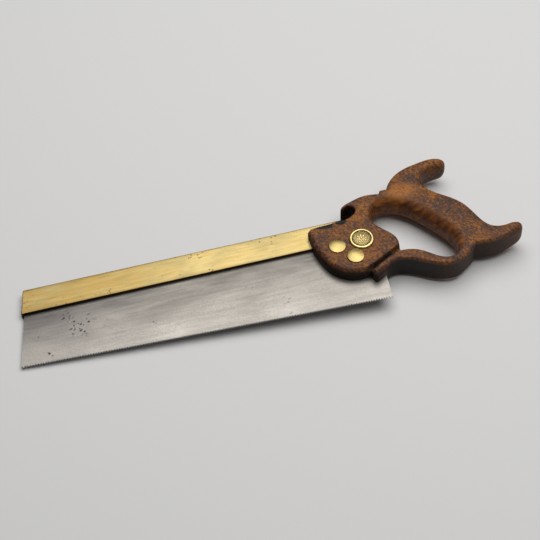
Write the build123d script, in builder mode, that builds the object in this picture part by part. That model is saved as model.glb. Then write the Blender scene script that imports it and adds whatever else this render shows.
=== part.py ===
from build123d import *
import math
import os

os.makedirs("parts", exist_ok=True)

# A brass-backed tenon saw (back saw) lying on its right side on a bench.
# Every piece is drawn in the saw's own frame, in millimetres: X runs from the toe to the handle
# along the brass back, Y runs from the teeth to the back, and Z points out of the left side.
# The first tooth, at the toe, is at X = 0, Y = 0, and Z = 0 is the middle of the plate.

# Plate
tooth_line_length = 304.8  # twelve inches
tooth_count = 144  # twelve points to the inch
tooth_depth = 1.5
plate_thickness = 0.8
tooth_line_taper = 2.5  # degrees between the tooth line and the back: the heel is deeper
toe_cant = 11.8  # degrees the toe leans back from square
heel_edge_height = 36.0  # length of the square heel edge, most of it inside the handle

# Brass back
back_height = 23.6
back_thickness = 7.0
back_lower_edge = 50.0  # Y of the lips that grip the plate
back_toe = 8.4  # X of the lower toe corner
back_end = 292.0  # X of the end let into the handle
back_slot_depth = 18.4
back_crown_radius = 2.2
back_lip_chamfer = 0.5

# Handle
handle_thickness = 24.6
front_edge = 253.3  # X of the straight front edge of the cheek
cheek_top_front = 64.0
cheek_top_rear = 66.3
cheek_chamfer = 2.6
grip_rounding = 6.5
horn_rounding = 3.0
moulding_width = 5.0
moulding_depth = 3.0
chamfer_fullness = 0.5
round_fullness = 0.33

# Fastenings: a domed head and square neck on the left, a flush split nut on the right
small_head_diameter = 14.3
medallion_diameter = 20.6
head_seat_depth = 1.2  # how far a head is let into the wood
head_rim_height = 0.7  # straight edge of a head above the wood
small_dome_rise = 1.1
medallion_rise = 1.0
medallion_ring_width = 2.2
medallion_recess_depth = 0.7
neck_side = 5.4
neck_length = 8.0
shank_diameter = 4.9
nut_diameter = 11.0
medallion_nut_diameter = 13.0
nut_thickness = 3.0
nut_sink = 0.3  # how far the nut lies below the right face
driver_slot_width = 1.6
driver_slot_depth = 1.2
driver_slot_length = 2.6
front_bolt_place = (272.5, 41.0)
lower_bolt_place = (284.3, 27.4)
medallion_bolt_place = (293.7, 42.7)

# Clearances
kerf_clearance = 0.05  # each side of the plate
mortise_clearance = 0.05  # each side of the back
end_clearance = 0.3
bolt_clearance = 0.05
plate_hole_diameter = 6.0

# Derived sizes
half_handle = handle_thickness / 2
back_top = back_lower_edge + back_height
taper = math.radians(tooth_line_taper)
cant = math.tan(math.radians(toe_cant))
tooth_pitch = tooth_line_length / tooth_count
plate_top = back_lower_edge + back_slot_depth - end_clearance
neck_end = half_handle - head_seat_depth - neck_length
nut_face = -half_handle + nut_sink


def along_teeth(distance, height=0.0):
    """Point at a distance from the toe along the tooth line and a height above it."""
    return (
        distance * math.cos(taper) + height * math.sin(taper),
        height * math.cos(taper) - distance * math.sin(taper),
    )


# Plate: a tapered blade with its teeth, its square heel and its leaning toe
heel_top = along_teeth(tooth_line_length, heel_edge_height)
plate_rear_shoulder = (300.0, 60.0)
plate_rear_top = (286.0, plate_top)
tooth_points = []
for tooth in range(tooth_count):
    tooth_points.append(along_teeth(tooth * tooth_pitch))
    tooth_points.append(along_teeth((tooth + 0.5) * tooth_pitch, tooth_depth))
tooth_points.append(along_teeth(tooth_line_length))

with BuildPart() as saw_plate:
    with BuildSketch(Plane.XY.offset(-plate_thickness / 2)):
        with BuildLine():
            Polyline(
                *tooth_points,
                heel_top,
                plate_rear_shoulder,
                plate_rear_top,
                (plate_top * cant, plate_top),
                tooth_points[0],
            )
        make_face()
        with Locations(front_bolt_place, lower_bolt_place, medallion_bolt_place):
            Circle(plate_hole_diameter / 2, mode=Mode.SUBTRACT)
    extrude(amount=plate_thickness)

# Brass back: a folded strip with a rounded crown, open below to grip the plate
with BuildPart() as brass_back:
    with BuildSketch(Plane.XY.offset(-back_thickness / 2)):
        with BuildLine():
            Polyline(
                (back_toe, back_lower_edge),
                (back_end, back_lower_edge),
                (back_end, back_top),
                (back_toe + back_height * cant, back_top),
                close=True,
            )
        make_face()
    extrude(amount=back_thickness)
    crown_edges = brass_back.edges().filter_by(Axis.X).group_by(Axis.Y)[-1]
    fillet(crown_edges, radius=back_crown_radius)
    lip_edges = brass_back.edges().filter_by(Axis.X).group_by(Axis.Y)[0]
    chamfer(lip_edges, length=back_lip_chamfer)
    with BuildSketch(Plane.YZ.offset(back_toe - end_clearance)):
        with Locations((back_lower_edge + back_slot_depth / 2, 0)):
            Rectangle(back_slot_depth, plate_thickness + 2 * kerf_clearance)
    extrude(amount=back_end - back_toe + 2 * end_clearance, mode=Mode.SUBTRACT)

# Handle: outline of the closed handle, seen from the left side
front_top = (front_edge, cheek_top_front)
front_low = (front_edge, 50.0)
notch_low = (285.3, cheek_top_rear)
notch_rear = (297.2, 74.4)
notch_top = (289.5, 79.2)
beak_tip = (286.0, 77.8)
crest_step = (321.1, 85.9)
crest_nib = (322.8, 89.0)
horn_root = (328.8, 89.3)
horn_top = (382.5, 111.4)
horn_point = (386.1, 107.8)
horn_below = (382.5, 104.2)
web = (361.8, 84.0)
tail_top = (422.5, 26.2)
tail_point = (426.1, 22.6)
tail_below = (422.5, 19.0)
lobe_corner = (381.8, 13.9)
rail_front = (311.0, 17.3)
nib_rear = (306.0, 9.5)
nib_point = (297.0, 5.0)
nib_front = (292.9, 11.5)
toward_handle = (1.0, 0.0)
toward_toe = (-1.0, 0.0)

# Hand hole
hole_corner = (321.6, 23.8)
hole_top = (323.5, 76.0)
hole_heel = (369.6, 20.0)

with BuildLine() as horn_front_line:
    Spline(
        horn_root,
        (335.0, 98.7),
        (346.2, 106.6),
        (362.0, 110.8),
        horn_top,
        tangents=((0.4, 1.0), toward_handle),
    )

with BuildLine() as horn_under_line:
    Spline(horn_below, (370.5, 102.0), (361.2, 94.5), web, tangents=(toward_toe, (0.3, -1.0)))

with BuildLine() as grip_back_line:
    Spline(
        web,
        (371.6, 75.2),
        (386.2, 61.8),
        (394.5, 44.0),
        (403.8, 29.2),
        tail_top,
        tangents=((0.8, -0.9), toward_handle),
    )

with BuildLine() as cheek_front_line:
    Spline(
        nib_front,
        (279.2, 11.6),
        (263.3, 21.6),
        (255.2, 40.0),
        front_low,
        tangents=((-1.0, -0.1), (0.0, 1.0)),
    )
    Line(front_low, front_top)

with BuildLine() as grip_front_line:
    Spline(
        hole_top,
        (339.3, 68.8),
        (355.2, 50.4),
        (367.0, 32.0),
        hole_heel,
        tangents=(toward_handle, (0.0, -1.0)),
    )

with BuildLine() as moulding_line:
    Spline((322.5, 28.0), (313.0, 21.8), (303.0, 16.2), (296.0, 13.0), (290.5, 8.5))


def section_plane(curve, outward):
    """Plane square to the start of a curve on the left face, X pointing out of the wood."""
    start = curve.wire() @ 0
    heading = curve.wire() % 0
    return Plane(
        origin=(start.X, start.Y, half_handle),
        x_dir=heading.cross(Vector(0, 0, outward)),
        z_dir=heading,
    )


def path_on_face(curve):
    """The curve lifted onto the left face of the handle."""
    return curve.wire().moved(Location((0, 0, half_handle)))


def edge_cutter(curve, outward, radius, fullness):
    """Block that takes the left edge off the handle along an outline curve.

    A fullness of a half makes a flat chamfer and a smaller one a rounder edge.
    """
    middle = -radius * fullness
    with BuildPart() as block:
        with BuildSketch(section_plane(curve, outward)):
            with BuildLine():
                Polyline((-radius, 0), (-radius, 1), (1, 1), (1, -radius), (0, -radius))
                if fullness < chamfer_fullness:
                    ThreePointArc((0, -radius), (middle, middle), (-radius, 0))
                else:
                    Line((0, -radius), (-radius, 0))
            make_face()
        sweep(path=path_on_face(curve))
    return block.part


def groove_cutter(curve):
    """Block with a V section that cuts the moulding between the cheek and the rail."""
    with BuildPart() as block:
        with BuildSketch(section_plane(curve, 1)):
            with BuildLine():
                Polyline(
                    (-moulding_width / 2, 1),
                    (-moulding_width / 2, 0),
                    (0, -moulding_depth),
                    (moulding_width / 2, 0),
                    (moulding_width / 2, 1),
                    close=True,
                )
            make_face()
        sweep(path=path_on_face(curve))
    return block.part


outside = -1
inside = 1
left_cutters = [
    edge_cutter(cheek_front_line, outside, cheek_chamfer, chamfer_fullness),
    edge_cutter(horn_front_line, outside, horn_rounding, round_fullness),
    edge_cutter(horn_under_line, outside, horn_rounding, round_fullness),
    edge_cutter(grip_back_line, outside, grip_rounding, round_fullness),
    edge_cutter(grip_front_line, inside, grip_rounding, round_fullness),
    groove_cutter(moulding_line),
]
right_cutters = [mirror(cutter, about=Plane.XY) for cutter in left_cutters]


with BuildPart() as handle:
    with BuildSketch(Plane.XY.offset(-half_handle)):
        with BuildLine():
            add(cheek_front_line.line)
            Line(front_top, notch_low)
            Spline(notch_low, (292.0, 69.8), notch_rear)
            ThreePointArc(notch_rear, (294.0, 79.2), notch_top)
            Line(notch_top, beak_tip)
            Spline(beak_tip, (295.6, 84.0), (308.5, 87.4), crest_step)
            Polyline(crest_step, crest_nib, horn_root)
            add(horn_front_line.line)
            ThreePointArc(horn_top, horn_point, horn_below)
            add(horn_under_line.line)
            add(grip_back_line.line)
            ThreePointArc(tail_top, tail_point, tail_below)
            Spline(tail_below, (409.5, 14.6), (396.0, 13.0), lobe_corner, tangents=(toward_toe, toward_toe))
            Spline(lobe_corner, (375.0, 7.4), (362.0, 0.4), (346.0, 4.0), (329.0, 13.6), rail_front)
            Line(rail_front, nib_rear)
            Spline(nib_rear, nib_point, nib_front)
        make_face()
        with BuildLine():
            Spline(
                hole_corner,
                (322.2, 32.0),
                (316.2, 45.4),
                (310.6, 55.5),
                (312.6, 69.5),
                hole_top,
                tangents=((0.0, 1.0), toward_handle),
            )
            add(grip_front_line.line)
            Spline(
                hole_heel,
                (365.6, 9.8),
                (357.6, 7.3),
                (346.4, 13.3),
                (336.0, 20.8),
                hole_corner,
                tangents=((0.0, -1.0), toward_toe),
            )
        make_face(mode=Mode.SUBTRACT)
    extrude(amount=handle_thickness)
    for cutter in left_cutters + right_cutters:
        add(cutter, mode=Mode.SUBTRACT)

    # Kerf for the plate
    kerf = plate_thickness + 2 * kerf_clearance
    with BuildSketch(Plane.XY.offset(-kerf / 2)):
        with BuildLine():
            Polyline(
                (front_edge - 1, -cheek_top_front),
                (heel_top[0] + end_clearance, -cheek_top_front),
                (heel_top[0] + end_clearance, heel_top[1]),
                (plate_rear_shoulder[0] + end_clearance, plate_rear_shoulder[1]),
                (plate_rear_top[0] + end_clearance, plate_top + end_clearance),
                (front_edge - 1, plate_top + end_clearance),
                close=True,
            )
        make_face()
    extrude(amount=kerf, mode=Mode.SUBTRACT)

    # Mortise for the back, open to the front and to the top of the cheek
    mortise = back_thickness + 2 * mortise_clearance
    mortise_corner = (front_edge - 1, back_lower_edge - mortise_clearance)
    with BuildSketch(Plane.XY.offset(-mortise / 2)):
        with Locations(mortise_corner):
            Rectangle(
                back_end + end_clearance - mortise_corner[0],
                back_height + end_clearance,
                align=(Align.MIN, Align.MIN),
            )
    extrude(amount=mortise, mode=Mode.SUBTRACT)

    # Seats, necks, shanks and nuts of the fastenings
    small_places = [front_bolt_place, lower_bolt_place]
    all_places = small_places + [medallion_bolt_place]
    with BuildSketch(Plane.XY.offset(half_handle - head_seat_depth)):
        with Locations(*small_places):
            Circle(small_head_diameter / 2 + bolt_clearance)
        with Locations(medallion_bolt_place):
            Circle(medallion_diameter / 2 + bolt_clearance)
    extrude(amount=2 * head_seat_depth, mode=Mode.SUBTRACT)
    with BuildSketch(Plane.XY.offset(neck_end - end_clearance)):
        with Locations(*all_places):
            Rectangle(neck_side + 2 * bolt_clearance, neck_side + 2 * bolt_clearance)
    extrude(amount=neck_length + 2 * end_clearance, mode=Mode.SUBTRACT)
    with BuildSketch(Plane.XY.offset(-half_handle - 1)):
        with Locations(*all_places):
            Circle(shank_diameter / 2 + bolt_clearance)
    extrude(amount=half_handle + 1 + neck_end, mode=Mode.SUBTRACT)
    with BuildSketch(Plane.XY.offset(-half_handle - 1)):
        with Locations(*small_places):
            Circle(nut_diameter / 2 + bolt_clearance)
        with Locations(medallion_bolt_place):
            Circle(medallion_nut_diameter / 2 + bolt_clearance)
    extrude(amount=1 + nut_sink + nut_thickness + end_clearance, mode=Mode.SUBTRACT)


def domed_bolt(place):
    """Small domed head with its square neck and round shank."""
    seat = half_handle - head_seat_depth
    dome_top = half_handle + head_rim_height + small_dome_rise
    head_radius = small_head_diameter / 2
    dome_radius = (head_radius**2 + small_dome_rise**2) / (2 * small_dome_rise)
    with BuildPart() as bolt:
        with BuildSketch(Plane.XY.offset(seat)):
            Circle(head_radius)
        extrude(amount=dome_top - seat)
        with Locations((0, 0, dome_top - dome_radius)):
            Sphere(dome_radius, mode=Mode.INTERSECT)
        with BuildSketch(Plane.XY.offset(neck_end)):
            Rectangle(neck_side, neck_side)
        extrude(amount=neck_length)
        with BuildSketch(Plane.XY.offset(nut_face)):
            Circle(shank_diameter / 2)
        extrude(amount=neck_end - nut_face)
    return bolt.part.moved(Location((*place, 0)))


def split_nut(place, diameter):
    """Round nut let in flush, with two short slots for a forked driver."""
    with BuildPart() as nut:
        with BuildSketch(Plane.XY.offset(nut_face)):
            Circle(diameter / 2)
            Circle(shank_diameter / 2 + bolt_clearance, mode=Mode.SUBTRACT)
        extrude(amount=nut_thickness)
        with BuildSketch(Plane.XY.offset(nut_face)):
            with PolarLocations((diameter - driver_slot_length) / 2, 2):
                Rectangle(driver_slot_length, driver_slot_width)
        extrude(amount=driver_slot_depth, mode=Mode.SUBTRACT)
    return nut.part.moved(Location((*place, 0)))


with BuildPart() as front_bolt:
    add(domed_bolt(front_bolt_place))

with BuildPart() as lower_bolt:
    add(domed_bolt(lower_bolt_place))

# Medallion: a raised ring round a sunk field with a six-petalled rosette
with BuildPart() as medallion_bolt:
    medallion_top = half_handle + head_rim_height + medallion_rise
    medallion_seat = half_handle - head_seat_depth
    field_radius = medallion_diameter / 2 - medallion_ring_width
    with BuildSketch(Plane.XY.offset(medallion_seat)):
        with Locations(medallion_bolt_place):
            Circle(medallion_diameter / 2)
    extrude(amount=medallion_top - medallion_seat)
    rim_edges = medallion_bolt.edges().group_by(Axis.Z)[-1]
    fillet(rim_edges, radius=medallion_rise * 0.8)
    with BuildSketch(Plane.XY.offset(medallion_top)):
        with Locations(medallion_bolt_place):
            Circle(field_radius)
    extrude(amount=-medallion_recess_depth, mode=Mode.SUBTRACT)
    with BuildSketch(Plane.XY.offset(medallion_top - medallion_recess_depth)):
        with Locations(medallion_bolt_place):
            Circle(field_radius * 0.26)
            with PolarLocations(field_radius * 0.58, 6):
                Ellipse(field_radius * 0.27, field_radius * 0.15)
    extrude(amount=medallion_recess_depth * 0.6)
    with BuildSketch(Plane.XY.offset(neck_end)):
        with Locations(medallion_bolt_place):
            Rectangle(neck_side, neck_side)
    extrude(amount=neck_length)
    with BuildSketch(Plane.XY.offset(nut_face)):
        with Locations(medallion_bolt_place):
            Circle(shank_diameter / 2)
    extrude(amount=neck_end - nut_face)

with BuildPart() as front_split_nut:
    add(split_nut(front_bolt_place, nut_diameter))

with BuildPart() as lower_split_nut:
    add(split_nut(lower_bolt_place, nut_diameter))

with BuildPart() as medallion_split_nut:
    add(split_nut(medallion_bolt_place, medallion_nut_diameter))

saw_plate.part.label = "saw_plate"
brass_back.part.label = "brass_back"
handle.part.label = "handle"
front_bolt.part.label = "front_bolt"
lower_bolt.part.label = "lower_bolt"
medallion_bolt.part.label = "medallion_bolt"
front_split_nut.part.label = "front_split_nut"
lower_split_nut.part.label = "lower_split_nut"
medallion_split_nut.part.label = "medallion_split_nut"

# Lay the saw on its right side: it rests on the toe of the back and on two points of the
# lower rim of the cheek, so the plane through those three becomes the bench
toe_contact = Vector(back_toe, back_lower_edge + back_lip_chamfer, -back_thickness / 2)
cheek_contact_upper = Vector(front_edge + cheek_chamfer, front_low[1], -half_handle)
cheek_contact_lower = Vector(front_edge + cheek_chamfer + 1.2, 41.0, -half_handle)
bench_normal = (cheek_contact_lower - toe_contact).cross(cheek_contact_upper - toe_contact)
bench = Plane(
    origin=toe_contact,
    x_dir=cheek_contact_upper - toe_contact,
    z_dir=bench_normal,
)
pieces = [
    saw_plate.part,
    brass_back.part,
    handle.part,
    front_bolt.part,
    lower_bolt.part,
    medallion_bolt.part,
    front_split_nut.part,
    lower_split_nut.part,
    medallion_split_nut.part,
]
lay_down = bench.location.inverse()
for piece in pieces:
    piece.move(lay_down)
# The origin is under the middle of the saw, on the bench
boxes = [piece.bounding_box() for piece in pieces]
middle_x = (min(box.min.X for box in boxes) + max(box.max.X for box in boxes)) / 2
middle_y = (min(box.min.Y for box in boxes) + max(box.max.Y for box in boxes)) / 2
lowest = min(box.min.Z for box in boxes)
to_origin = Location((-middle_x, -middle_y, -lowest))
for piece in pieces:
    piece.move(to_origin)

export_step(saw_plate.part, "parts/saw_plate.step")
export_step(brass_back.part, "parts/brass_back.step")
export_step(handle.part, "parts/handle.step")
export_step(front_bolt.part, "parts/front_bolt.step")
export_step(lower_bolt.part, "parts/lower_bolt.step")
export_step(medallion_bolt.part, "parts/medallion_bolt.step")
export_step(front_split_nut.part, "parts/front_split_nut.step")
export_step(lower_split_nut.part, "parts/lower_split_nut.step")
export_step(medallion_split_nut.part, "parts/medallion_split_nut.step")
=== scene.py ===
"""Looks of a twelve-inch brass-backed back saw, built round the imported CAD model.

The saw is shaped in its own flat axes, in millimetres: x runs from the toe to the
handle along the brass back, y from the teeth to the back, z out of the left side,
with zero at the first tooth, half way through the plate. SawFrame then lays every
mesh in the row frame, in metres.
"""

from __future__ import annotations

import logging
import math
from dataclasses import dataclass, field
from enum import Enum

import bmesh
import bpy
import numpy as np
from mathutils import Matrix, Vector, geometry, noise

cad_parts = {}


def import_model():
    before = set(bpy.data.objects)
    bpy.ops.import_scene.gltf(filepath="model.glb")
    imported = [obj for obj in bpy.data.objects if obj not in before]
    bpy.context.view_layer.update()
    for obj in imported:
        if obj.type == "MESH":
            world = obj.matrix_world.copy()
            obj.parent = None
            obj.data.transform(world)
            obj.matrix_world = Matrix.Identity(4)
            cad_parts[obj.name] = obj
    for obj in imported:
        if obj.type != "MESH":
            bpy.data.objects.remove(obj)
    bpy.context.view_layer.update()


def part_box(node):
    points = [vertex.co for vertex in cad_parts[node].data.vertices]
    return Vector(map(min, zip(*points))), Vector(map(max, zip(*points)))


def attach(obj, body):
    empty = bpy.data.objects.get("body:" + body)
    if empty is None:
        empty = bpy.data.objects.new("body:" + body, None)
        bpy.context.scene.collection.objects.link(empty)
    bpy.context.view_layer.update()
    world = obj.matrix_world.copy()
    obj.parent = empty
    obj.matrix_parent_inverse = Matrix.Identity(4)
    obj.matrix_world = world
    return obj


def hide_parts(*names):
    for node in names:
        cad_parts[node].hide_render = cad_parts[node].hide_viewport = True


LOG = logging.getLogger("back_saw")
MM = 0.001
CORNER_ANGLE = 24.0  # degrees; an outline that turns more keeps its corner
BATCH = 1500  # points measured against a line at one time
Point2 = tuple[float, float]
Colour = tuple[float, float, float]


class SawSide(Enum):
    """The side of the saw a surface faces, by the sign of its flat z."""

    LEFT = 1
    RIGHT = -1


# ---------------------------------------------------------------- the flat axes


class SawFrame:
    """Moves points between the saw's flat axes, in mm, and the row frame, in metres."""

    along = np.array((0.999367, 0.00185, 0.035542))
    upward = np.array((-0.002019, 0.999987, 0.004739))
    outward = np.array((-0.035533, -0.004807, 0.999357))
    plate_corner_to_tooth = np.array((0.016, 12.734, 0.396))

    def __init__(self) -> None:
        """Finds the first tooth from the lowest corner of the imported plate."""
        corner = np.array(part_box("saw_plate")[0]) / MM
        self.origin = corner + self.plate_corner_to_tooth
        self.turn = np.stack((self.along, self.upward, self.outward))

    def lay(self, flat: np.ndarray) -> np.ndarray:
        """Returns flat points, in mm, as row points, in metres."""
        return (self.origin + np.asarray(flat, float) @ self.turn) * MM

    def flatten(self, row: np.ndarray) -> np.ndarray:
        """Returns row points, in metres, as flat points, in mm."""
        return (np.asarray(row, float) / MM - self.origin) @ np.linalg.inv(self.turn)

    def place(self, mesh: bpy.types.Mesh) -> None:
        """Lays a mesh that was made in the flat axes in the row frame."""
        points = coordinates(mesh)
        mesh.vertices.foreach_set("co", self.lay(points).astype(np.float32).ravel())
        mesh.update()


# ---------------------------------------------------------------- mesh helpers


def coordinates(mesh: bpy.types.Mesh) -> np.ndarray:
    """Returns a mesh's vertex positions, one row each."""
    flat = np.zeros(len(mesh.vertices) * 3, np.float32)
    mesh.vertices.foreach_get("co", flat)
    return flat.reshape(-1, 3).astype(float)


def new_object(name: str, mesh: bpy.types.Mesh) -> bpy.types.Object:
    """Returns a new object for a mesh, linked to the scene."""
    made = bpy.data.objects.new(name, mesh)
    bpy.context.scene.collection.objects.link(made)
    return made


def object_from(name: str, points: np.ndarray, faces: list) -> bpy.types.Object:
    """Makes an object from points and faces.

    Args:
        name: The object's name.
        points: Vertex positions, one row each.
        faces: Vertex numbers of each face.

    Returns:
        The object, with its faces turned outwards.
    """
    mesh = bpy.data.meshes.new(name)
    mesh.from_pydata([tuple(p) for p in points], [], faces)
    work = bmesh.new()
    work.from_mesh(mesh)
    bmesh.ops.recalc_face_normals(work, faces=work.faces)
    work.to_mesh(mesh)
    work.free()
    mesh.update()
    return new_object(name, mesh)


def keep(mesh: bpy.types.Mesh, name: str, values: np.ndarray) -> None:
    """Stores a number on every point of a mesh."""
    store = mesh.attributes.new(name, "FLOAT", "POINT")
    store.data.foreach_set("value", np.asarray(values, np.float32))


def soften(mesh: bpy.types.Mesh, sharp_angle: float) -> None:
    """Shades a mesh smooth, but keeps edges sharper than the angle, in degrees."""
    work = bmesh.new()
    work.from_mesh(mesh)
    limit = math.radians(sharp_angle)
    for face in work.faces:
        face.smooth = True
    for edge in work.edges:
        edge.smooth = len(edge.link_faces) != 2 or edge.calc_face_angle(0) < limit
    work.to_mesh(mesh)
    work.free()
    mesh.update()


def baked(piece: bpy.types.Object) -> bpy.types.Object:
    """Replaces a piece's mesh by its evaluated one and drops its modifiers."""
    bpy.context.view_layer.update()
    evaluated = piece.evaluated_get(bpy.context.evaluated_depsgraph_get())
    mesh = bpy.data.meshes.new_from_object(evaluated)
    old = piece.data
    piece.modifiers.clear()
    piece.data = mesh
    bpy.data.meshes.remove(old)
    return piece


def cut_out(piece: bpy.types.Object, tool: bpy.types.Object) -> None:
    """Cuts a tool out of a piece and removes the tool."""
    change = piece.modifiers.new("fit", "BOOLEAN")
    change.operation = "DIFFERENCE"
    change.solver = "MANIFOLD"
    change.object = tool
    baked(piece)
    bpy.data.objects.remove(tool)


def block(
    name: str, outline: list[Point2], low: float, high: float
) -> bpy.types.Object:
    """Returns a straight-sided block over an outline, from low to high z."""
    count = len(outline)
    points = [(x, y, z) for z in (low, high) for x, y in outline]
    faces = [tuple(range(count)), tuple(range(2 * count - 1, count - 1, -1))]
    for i in range(count):
        j = (i + 1) % count
        faces.append((i, j, count + j, count + i))
    return object_from(name, np.array(points), faces)


def disc_outline(centre: Point2, radius: float, count: int = 72) -> list[Point2]:
    """Returns points round a circle."""
    return [
        (
            centre[0] + radius * math.cos(math.tau * i / count),
            centre[1] + radius * math.sin(math.tau * i / count),
        )
        for i in range(count)
    ]


@dataclass(frozen=True)
class Ring:
    """One ring of a turned shape: its radius and height, and how square it is."""

    radius: float
    height: float
    square: float = 0.0

    def reach(self, angle: float) -> float:
        """Returns the distance from the axis at an angle."""
        flat = 1.0 / max(abs(math.cos(angle)), abs(math.sin(angle)))
        return self.radius * (1.0 + self.square * (flat - 1.0))


def turned(
    name: str, centre: Point2, rings: list[Ring], count: int = 96
) -> bpy.types.Object:
    """Makes a turned shape about an axis along z.

    Args:
        name: The object's name.
        centre: Where the axis stands.
        rings: The rings from one end to the other; the first and last are closed.
        count: How many points go round.

    Returns:
        The closed shape.
    """
    points, faces = [], []
    for ring in rings:
        for i in range(count):
            angle = math.tau * (i + 0.5) / count
            reach = ring.reach(angle)
            points.append(
                (
                    centre[0] + reach * math.cos(angle),
                    centre[1] + reach * math.sin(angle),
                    ring.height,
                )
            )
    for r in range(len(rings) - 1):
        for i in range(count):
            j = (i + 1) % count
            a, b = r * count, (r + 1) * count
            faces.append((a + i, a + j, b + j, b + i))
    for start, height in (
        (0, rings[0].height),
        ((len(rings) - 1) * count, rings[-1].height),
    ):
        points.append((*centre, height))
        middle = len(points) - 1
        faces += [
            (start + i, start + (i + 1) % count, middle) for i in range(count)
        ]
    return object_from(name, np.array(points), faces)


# ---------------------------------------------------------------- outlines


def resample(loop: np.ndarray, spacing: float) -> np.ndarray:
    """Spreads a closed outline's points evenly and keeps its corners.

    Args:
        loop: The outline's points, in order, without the first repeated.
        spacing: The distance between new points.

    Returns:
        The new points.
    """
    ahead = np.roll(loop, -1, 0) - loop
    behind = loop - np.roll(loop, 1, 0)
    turn = np.abs(
        np.degrees(
            np.arctan2(
                behind[:, 0] * ahead[:, 1] - behind[:, 1] * ahead[:, 0],
                (behind * ahead).sum(1),
            )
        )
    )
    corners = np.flatnonzero(turn > CORNER_ANGLE)
    if len(corners) == 0:
        corners = np.array([0])
    loop = np.roll(loop, -corners[0], 0)
    corners = corners - corners[0]
    closed = np.vstack((loop, loop[:1]))
    made, fixed = [], []
    for start, stop in zip(corners, [*corners[1:], len(loop)]):
        run = closed[start : stop + 1]
        step = np.linalg.norm(np.diff(run, axis=0), axis=1)
        travel = np.concatenate(([0.0], np.cumsum(step)))
        count = max(1, round(travel[-1] / spacing))
        at = np.linspace(0.0, travel[-1], count + 1)[:-1]
        fixed += [True] + [False] * (count - 1)
        made.append(
            np.stack([np.interp(at, travel, run[:, k]) for k in (0, 1)], 1)
        )
    points, held = np.vstack(made), np.array(fixed)
    for weight in (0.5, -0.52) * 4:
        middle = (np.roll(points, 1, 0) + np.roll(points, -1, 0)) / 2
        moved = points + weight * (middle - points)
        points = np.where(held[:, None], points, moved)
    return points


def inside(points: np.ndarray, loop: np.ndarray) -> np.ndarray:
    """Returns which points are inside a closed outline."""
    result = np.zeros(len(points), bool)
    for a, b in zip(loop, np.roll(loop, -1, 0)):
        crosses = (a[1] > points[:, 1]) != (b[1] > points[:, 1])
        if not crosses.any():
            continue
        x = a[0] + (points[:, 1] - a[1]) * (b[0] - a[0]) / (b[1] - a[1] + 1e-12)
        result ^= crosses & (points[:, 0] < x)
    return result


def left_of(loop: np.ndarray) -> np.ndarray:
    """Returns the unit direction to the left of a closed outline at each point."""
    ahead = np.roll(loop, -1, 0) - np.roll(loop, 1, 0)
    across = np.stack((-ahead[:, 1], ahead[:, 0]), 1)
    return across / np.linalg.norm(across, axis=1, keepdims=True)


def between(points: np.ndarray, loops: list[np.ndarray]) -> np.ndarray:
    """Returns which points are inside the first outline and outside the second."""
    return inside(points, loops[0]) & ~inside(points, loops[1])


def nearest_on(
    points: np.ndarray, line: np.ndarray, closed: bool
) -> tuple[np.ndarray, np.ndarray, np.ndarray]:
    """Finds the nearest place on a line for each point.

    Args:
        points: Plane points.
        line: The line's points.
        closed: Whether the last point joins the first.

    Returns:
        The distance, the place as a point number with a fraction, and the side:
        1 to the left of the line and -1 to its right.
    """
    starts = line if closed else line[:-1]
    step = (np.roll(line, -1, 0) - line) if closed else np.diff(line, axis=0)
    length2 = (step**2).sum(1) + 1e-12
    best = np.full(len(points), 1e9)
    place = np.zeros(len(points))
    side = np.ones(len(points))
    for low in range(0, len(points), BATCH):
        part = points[low : low + BATCH]
        gap = part[:, None, :] - starts[None]
        t = np.clip((gap * step[None]).sum(2) / length2[None], 0.0, 1.0)
        off = gap - t[..., None] * step[None]
        distance = np.sqrt((off**2).sum(2))
        pick = distance.argmin(1)
        rows = np.arange(len(part))
        best[low : low + BATCH] = distance[rows, pick]
        place[low : low + BATCH] = pick + t[rows, pick]
        cross = step[pick, 0] * gap[rows, pick, 1] - step[pick, 1] * gap[rows, pick, 0]
        side[low : low + BATCH] = np.where(cross >= 0, 1.0, -1.0)
    return best, place, side


def edge_gap(points: np.ndarray, loops: list[np.ndarray]) -> np.ndarray:
    """Returns each point's distance to the nearer of two closed outlines."""
    gaps = [nearest_on(points, loop, True)[0] for loop in loops]
    return np.minimum(*gaps)


def smooth_step(low: float, high: float, value: np.ndarray) -> np.ndarray:
    """Returns 0 below low, 1 above high and an eased value between."""
    t = np.clip((value - low) / (high - low), 0.0, 1.0)
    return t * t * (3 - 2 * t)


def ripple(points: np.ndarray, size: float, seed: float) -> np.ndarray:
    """Returns soft noise from -1 to 1 with bumps of about the given size."""
    return np.array([noise.noise(Vector(p) / size + Vector((seed,) * 3)) for p in points])


# ---------------------------------------------------------------- materials


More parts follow.
